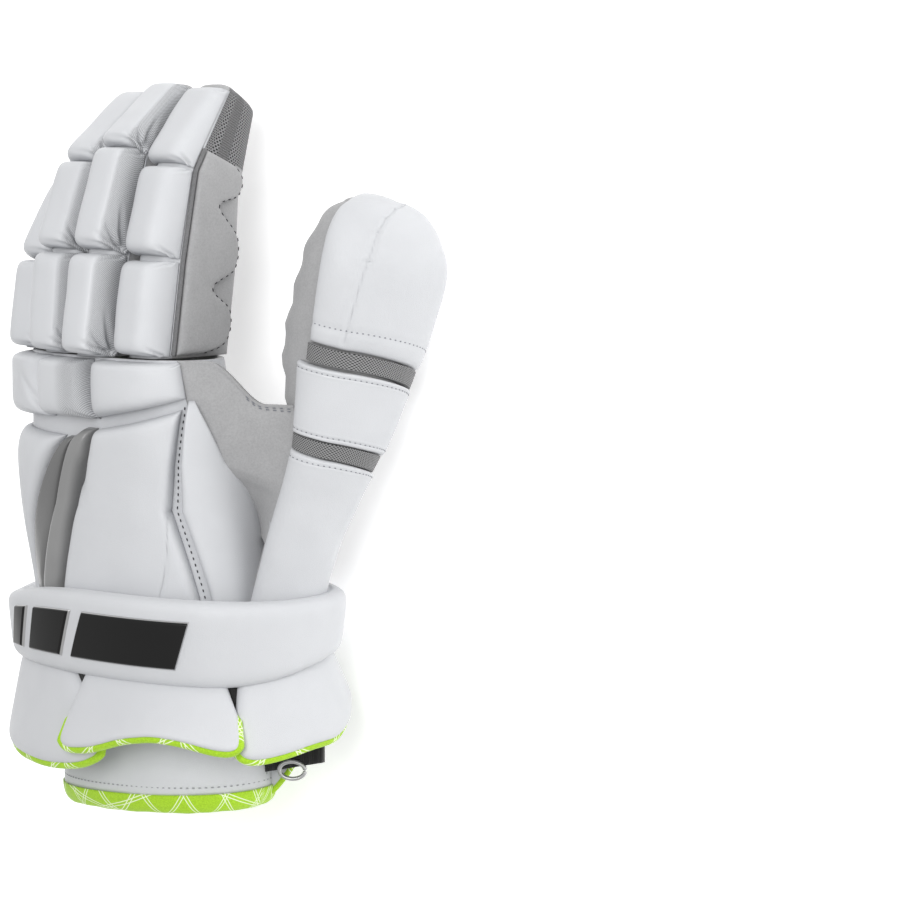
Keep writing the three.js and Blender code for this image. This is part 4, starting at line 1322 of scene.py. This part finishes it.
def strap_top(degrees):
    return STRAP_TOP - STRAP_HEIGHT * STRAP_DIP * lobe(degrees, 160, 4)


def strap_end(degrees):
    return STRAP_TOP - STRAP_HEIGHT * (1 - STRAP_NARROWS * lobe(degrees, -25, 3))


def strap_layer(share, degrees, side):
    """The strap's outside (side 1) or inside: rounded at both edges and a little wider at its top."""
    y = strap_top(degrees) + (strap_end(degrees) - strap_top(degrees)) * share
    full, flare = pillow(share, 7), STRAP_FLARE * (1 - share)
    if side:
        return cuff_point(degrees, y, flare - STRAP_THICKNESS / 2 * (1 - full))
    return cuff_point(degrees, y, flare - STRAP_THICKNESS * (0.5 + 0.3 * full), STRAP_FLOOR)


def strap_ring(share, degrees, side):
    """The same with its rings crowded towards both edges."""
    return strap_layer(np.interp(share, np.linspace(0, 1, 41), shares(41, 0.85)), degrees, side)


def strap_rim(share, degrees):
    return (np.abs(2 * share - 1) ** 12) * 0.5 + 0 * degrees


strap = walled_tube("cuff_strap_band", strap_ring, 40, 180, pad_leather, (0.45, STRAP_HEIGHT), strap_rim)
place_piece(strap, "shell_leather", ["cuff_strap"])

# %% Raised bars
BARS = {
    # from, to, slant, top and bottom as shares of the strap's height
    "cuff_bar_long": (56, 92, 5, 0.22, 0.78),
    "cuff_bar_middle": (96, 113, 5, 0.22, 0.78),
    "cuff_bar_short": (118, 127, 6, 0.22, 0.78),
}
BAR_HEIGHT, BAR_BEVEL = 0.0016, 0.0011


def bar(name, first, last, slant, top, bottom):
    u, v = shares(41, 0.6), shares(81, 0.6)
    uu, vv = np.meshgrid(u, v, indexing="ij")
    degrees = first + (last - first) * vv + slant * uu
    share = top + (bottom - top) * uu
    base = strap_layer(share, degrees, 1)
    out = base - np.array([CUFF_X, 0, CUFF_Z])
    out[..., 1] = 0
    out = unit(out)
    wide = np.linalg.norm(base[0, -1] - base[0, 0])
    high = np.linalg.norm(base[-1, 0] - base[0, 0])
    near = np.minimum(np.minimum(vv, 1 - vv) * wide, np.minimum(uu, 1 - uu) * high)
    full = np.clip(near / BAR_BEVEL, 0, 1)
    outer = base + out * (0.0002 + BAR_HEIGHT * full)[..., None]
    uv = np.stack([vv * wide, uu * high], axis=-1)
    piece = slab(f"{name}_gloss", outer, base - out * 0.0002, bar_black, uv, {"rim": 1 - full})
    place_piece(piece, "black_gloss", [name])


for name, row in BARS.items():
    bar(name, *row)
print("raised bars:", len(BARS))

# %% Plates and piping
PLATES = {
    # from, to, lower edge at even steps across as shares of the plate's length, narrower at the strap by
    "cuff_plate_right": (-40, 38.5, [0.6, 1.02, 1.14, 1.06, 1.06, 1.06], (0.0, 2.0), -0.0022),
    "cuff_plate_centre": (38, 97, [0.90, 0.82, 0.71, 0.67, 0.76, 0.96, 1.10], (4.0, 1.0), 0.0026),
    "cuff_plate_left": (88, 196, [1.30, 1.42, 1.40, 1.32, 1.0, 0.6], (15.0, 0.0), -0.0050),
}
PLATE_FLARE = (-0.009, 0.004)
PIPING = 0.0021
NARROWS_TO, CORNER = 0.55, 0.16


def plate(name, first, last, edge, narrow, layer):
    u, v = shares(41, 0.6), shares(101, 0.7)
    uu, vv = np.meshgrid(u, v, indexing="ij")
    inset = 1 - np.minimum(uu / NARROWS_TO, 1.0)
    degrees = first + narrow[0] * inset + (last - first - (narrow[0] + narrow[1]) * inset) * vv
    edge_row = np.interp(v, np.linspace(0, 1, len(edge)), edge)
    smooth = np.convolve(np.pad(edge_row, 4, "edge"), np.ones(9) / 9, "valid")[None, :]
    corner = 1 - CORNER * np.abs(2 * vv - 1) ** 14
    full = pillow(uu * 0.98 + 0.01, 9) * pillow(vv, 16)
    grow = PLATE_FLARE[0] + (PLATE_FLARE[1] - PLATE_FLARE[0]) * uu + layer * uu
    y = strap_end(degrees) + 0.003 - uu * (PLATE_LENGTH * smooth * corner + 0.003)
    outer = cuff_point(degrees, y, grow + PLATE_THICKNESS / 2 * full)
    inner = cuff_point(degrees, y, grow - PLATE_THICKNESS / 2 * full - 0.0004)
    uv = np.stack([vv * 0.09, uu * PLATE_LENGTH], axis=-1)
    piece = slab(f"{name}_cushion", outer, inner, pad_leather, uv, {"rim": (1 - full) * 0.7})
    place_piece(piece, "shell_leather", [name])
    middle = (outer + inner) / 2
    return middle, cuff_point(degrees, y, grow + 0.01) - middle


for name, row in PLATES.items():
    middle, out = plate(name, *row)
    line, lift = (np.concatenate([grid[20:-1:4, 0], grid[-1, ::2], grid[-2:20:-4, -1]])
                  for grid in (middle, out))
    line[:, 1] -= PIPING * 0.5
    line[:, 2] = np.maximum(line[:, 2], PIPING)
    roll(f"{name}_piping", line, PIPING, lime, "green_lining", normals=unit(lift))


def gusset(name, first, last, length):
    """A strip of black elastic behind the gap between two plates."""
    u, v = np.linspace(0, 1, 13), np.linspace(0, 1, 9)
    uu, vv = np.meshgrid(u, v, indexing="ij")
    degrees = first + (last - first) * vv
    y = strap_end(degrees) + 0.004 - uu * length
    outer, inner = (cuff_point(degrees, y, PLATE_FLARE[0] + 0.006 * uu + side) for side in (0.0002, -0.0012))
    uv = np.stack([vv * 0.014, uu * length], axis=-1)
    place_piece(slab(name, outer, inner, black_elastic, uv, {"rim": np.zeros_like(uu)}), "black_elastic")


gusset("gusset_thumb_side", 34, 44, 0.020)
gusset("gusset_outer_side", 95, 104, 0.020)
print("plates:", len(PLATES))

# %% [markdown]
# ## Wrist guard
# The guard is a padded sleeve that carries on from the hand. Its lime lining rolls over the end and is held
# by a row of stitches. An elastic band ties it to the plate on the thumb side, and a flap of its cover with
# a lime edge runs out to a small loop there. The sleeve and the roll are tubes with a wall, like the strap.

# %% Guard and lining
GUARD_FLARE = 0.003
GUARD_FLOOR = 0.012
GUARD_SLANT = 0.075
HAND_MIDDLE = hand.middle[0]
HAND_SKIN = hand.curves["skin"][0]


def guard_point(down, degrees, depth):
    half, above, below = (size + GUARD_FLARE * down - depth for size in HAND_SKIN)
    x, z = section_point(degrees, half, above, below, CUFF_POWER)
    y = WRIST_Y - GAP - down * (GUARD_LENGTH + GUARD_SLANT * (0.030 - x))
    z = np.maximum(HAND_MIDDLE[2] + z, GUARD_FLOOR + depth)
    return np.stack(np.broadcast_arrays(HAND_MIDDLE[0] + x, y, z), axis=-1)


def guard_layer(share, degrees, side):
    swell = 0.0006 * np.sin(math.pi * share) + 0.0004 * np.sin(np.radians(degrees * 5 + share * 90))
    return guard_point(share, degrees, GUARD_THICKNESS * 0.95 if side == 0 else -swell)


guard = walled_tube("wrist_guard_sleeve", guard_layer, 24, 120, pad_leather, (0.32, GUARD_LENGTH))
place_piece(guard, "shell_leather", ["wrist_guard"])


def lining_layer(share, degrees, side):
    angle = math.pi * share
    reach = GUARD_THICKNESS / 2 + 0.001
    puff = 1 + 0.015 * np.sin(np.radians(degrees * 9)) + 0.01 * np.sin(np.radians(degrees * 23))
    if side:
        points = guard_point(1.0, degrees, GUARD_THICKNESS / 2 - reach * np.cos(angle))
        points[..., 1] -= LINING_ROLL * np.sin(angle) * puff - 0.0006
        return points
    points = guard_point(1.0, degrees, GUARD_THICKNESS / 2 - reach * 0.7 * np.cos(angle))
    points[..., 1] -= LINING_ROLL * 0.6 * np.sin(angle)
    return points


lining = walled_tube("lining_roll", lining_layer, 24, 180, lime, (0.36, 0.030))
place_piece(lining, "green_lining", ["guard_lining"])


def inside_layer(share, degrees, side):
    return guard_point(share, degrees, GUARD_THICKNESS + 0.0012 - 0.001 * side)


inner = walled_tube("inner_lining", inside_layer, 12, 96, lime, (0.30, GUARD_LENGTH))
place_piece(inner, "green_lining")


def guard_line(down, degrees, proud):
    """A line over the guard, with its normals."""
    points = guard_point(down, degrees, -proud)
    out = points - [HAND_MIDDLE[0], 0, HAND_MIDDLE[2]]
    out[:, 1] = 0
    return points, unit(out)


rows = [guard_line(np.full(400, 0.90), np.linspace(0, 359, 400), 0.0004),
        guard_line(np.linspace(0.25, 0.86, 40), np.full(40, -6.0), 0.0006)]
sew("guard_stitches", rows, pale_thread, "shell_leather", length=0.0013, gap=0.0016, radius=0.00032)

# %% Elastic and loop
ELASTIC_FROM, ELASTIC_TO = -8, -14
ELASTIC_DEPTH = (0.80, 0.62)
ELASTIC_THICKNESS = 0.0024
LOOP_SIZE, LOOP_TILT, LOOP_WIRE = (0.0052, 0.0040), 0.003, 0.0010


def elastic_band():
    u, v = np.linspace(0, 1, 15), np.linspace(0, 1, 31)
    uu, vv = np.meshgrid(u, v, indexing="ij")
    start = guard_point(0.1 + (ELASTIC_DEPTH[0] - 0.1) * uu, np.full_like(uu, ELASTIC_FROM), -0.0002)
    flare = PLATE_FLARE[0] + 0.74 * (PLATE_FLARE[1] - PLATE_FLARE[0]) - PLATE_THICKNESS / 2 - 0.0009
    end = cuff_point(np.full_like(uu, ELASTIC_TO), start[..., 1], flare)
    end[..., 1] = guard_point(0.1 + (ELASTIC_DEPTH[1] - 0.1) * uu, np.zeros_like(uu), 0)[..., 1]
    points = start + (end - start) * vv[..., None]
    points[..., 2] += 0.0004 * np.sin(vv * 40)
    outer = points + [0, 0, ELASTIC_THICKNESS]
    uv = np.stack([vv * 0.04, uu * 0.02], axis=-1)
    place_piece(slab("guard_elastic", outer, points, black_elastic, uv, {"rim": np.zeros_like(uu)}),
                "black_elastic", ["wrist_elastic"])


def loop_ring():
    """A small oval loop that the elastic passes through."""
    middle = guard_point(0.76, -8.0, -0.0145)
    angles = np.linspace(0, 2 * math.pi, 49)
    line = np.stack([middle[0] + LOOP_SIZE[0] * np.cos(angles), middle[1] + LOOP_SIZE[1] * np.sin(angles),
                     middle[2] - LOOP_TILT * np.cos(angles) + ELASTIC_THICKNESS / 2], axis=-1)
    roll("elastic_loop", line, LOOP_WIRE, loop_metal, "black_elastic")


TAB_FROM, TAB_TO, TAB_REACH = 0.50, 1.10, 0.019
TAB_SHEET = 0.0018


def guard_tab():
    """A flap of the guard's cover that runs out to the loop, with a lime piping on its edge."""
    u, v = np.linspace(0, 1, 31), np.linspace(0, 1, 17)
    uu, vv = np.meshgrid(u, v, indexing="ij")
    down = TAB_FROM + (TAB_TO - TAB_FROM) * uu
    reach = TAB_REACH * (1 - uu) ** 0.8 * vv
    outer = guard_point(down, np.full_like(uu, -12.0), 0.002 - reach)
    outer[..., 2] -= 0.0008
    uv = np.stack([vv * TAB_REACH, uu * 0.02], axis=-1)
    piece = slab("guard_tab", outer, outer - [0, 0, TAB_SHEET], pad_leather, uv, {"rim": vv**6})
    place_piece(piece, "shell_leather")
    edge = outer[:, -1] - [0, 0, TAB_SHEET / 2]
    roll("guard_tab_piping", edge, 0.0014, lime, "green_lining")


elastic_band()
loop_ring()
guard_tab()

# %% [markdown]
# ## Floor, light and camera
# The glove lies on a plain pale floor under large soft lights, one of them stronger from the upper left, as
# in a studio. A long lens keeps the shapes as flat as in a catalogue picture. The glove stands left of the
# middle, so the camera is turned a little past it.

# %% Floor
FLOOR_SIZE = 6.0


def pale_floor():
    s = Shader("pale floor", Emission_Color=(1.0, 1.0, 1.0, 1.0), Emission_Strength=0.44)
    dust = s.noise(0.05, 3)
    color = s.blend(dust, gray(0.93), gray(0.95))
    material = s.finish(Base_Color=color, Roughness=dust * 0.1 + 0.85)
    half = FLOOR_SIZE / 2
    corners = np.array([(-half, -half, 0), (half, -half, 0), (half, half, 0), (-half, half, 0)], float)
    floor = make_object("floor", corners, [(0, 1, 2, 3)], material)


pale_floor()

# %% Camera
TARGET = Vector((0.0, 0.0, 0.060)) + Vector((HAND_X + 0.031, KNUCKLE_Y - 0.043, 0))
CAMERA_TURN, CAMERA_RISE = 43, 6
CAMERA_DISTANCE = 1.300
LENS, SENSOR = 113.04, 36.0
ASIDE = 262 / 2826
theta, phi = math.radians(CAMERA_TURN), math.radians(CAMERA_RISE)
back = Vector((math.sin(theta) * math.cos(phi), math.sin(phi), math.cos(theta) * math.cos(phi)))
right = Vector((0, 1, 0)).cross(back).normalized()
up = back.cross(right)
camera = bpy.data.objects.new("camera", bpy.data.cameras.new("camera"))
camera.data.lens, camera.data.sensor_width = LENS, SENSOR
camera.data.clip_start, camera.data.clip_end = 0.05, 20
turned = Matrix((right, up, back)).transposed() @ Matrix.Rotation(-math.atan(ASIDE), 3, "Y")
camera.matrix_world = Matrix.Translation(TARGET + back * CAMERA_DISTANCE) @ turned.to_4x4()
bpy.context.scene.collection.objects.link(camera)
bpy.context.scene.camera = camera

# %% Lights
LIGHTS = {
    # offset from the glove along right, up and back in metres, size, power in watts
    "key": ((-0.7, 0.4, 1.9), 1.2, 22),
    "fill": ((1.2, 0.1, 1.6), 1.6, 6),
    "top": ((-0.4, 1.6, 0.8), 1.2, 2.5),
}


def area_light(name, offset, size, power):
    data = bpy.data.lights.new(name, "AREA")
    data.size, data.energy, data.shape = size, power, "DISK"
    light = bpy.data.objects.new(name, data)
    light.location = TARGET + right * offset[0] + up * offset[1] + back * offset[2]
    light.rotation_euler = (light.location - TARGET).to_track_quat("Z", "Y").to_euler()
    bpy.context.scene.collection.objects.link(light)


for name, row in LIGHTS.items():
    area_light(name, *row)
world = bpy.data.worlds.new("studio")
world.use_nodes = True
world.node_tree.nodes["Background"].inputs["Color"].default_value = (1.0, 1.0, 1.0, 1.0)
world.node_tree.nodes["Background"].inputs["Strength"].default_value = 0.58
bpy.context.scene.world = world
bpy.context.scene.view_settings.view_transform = "Standard"
print("camera at", [round(v, 3) for v in camera.location])
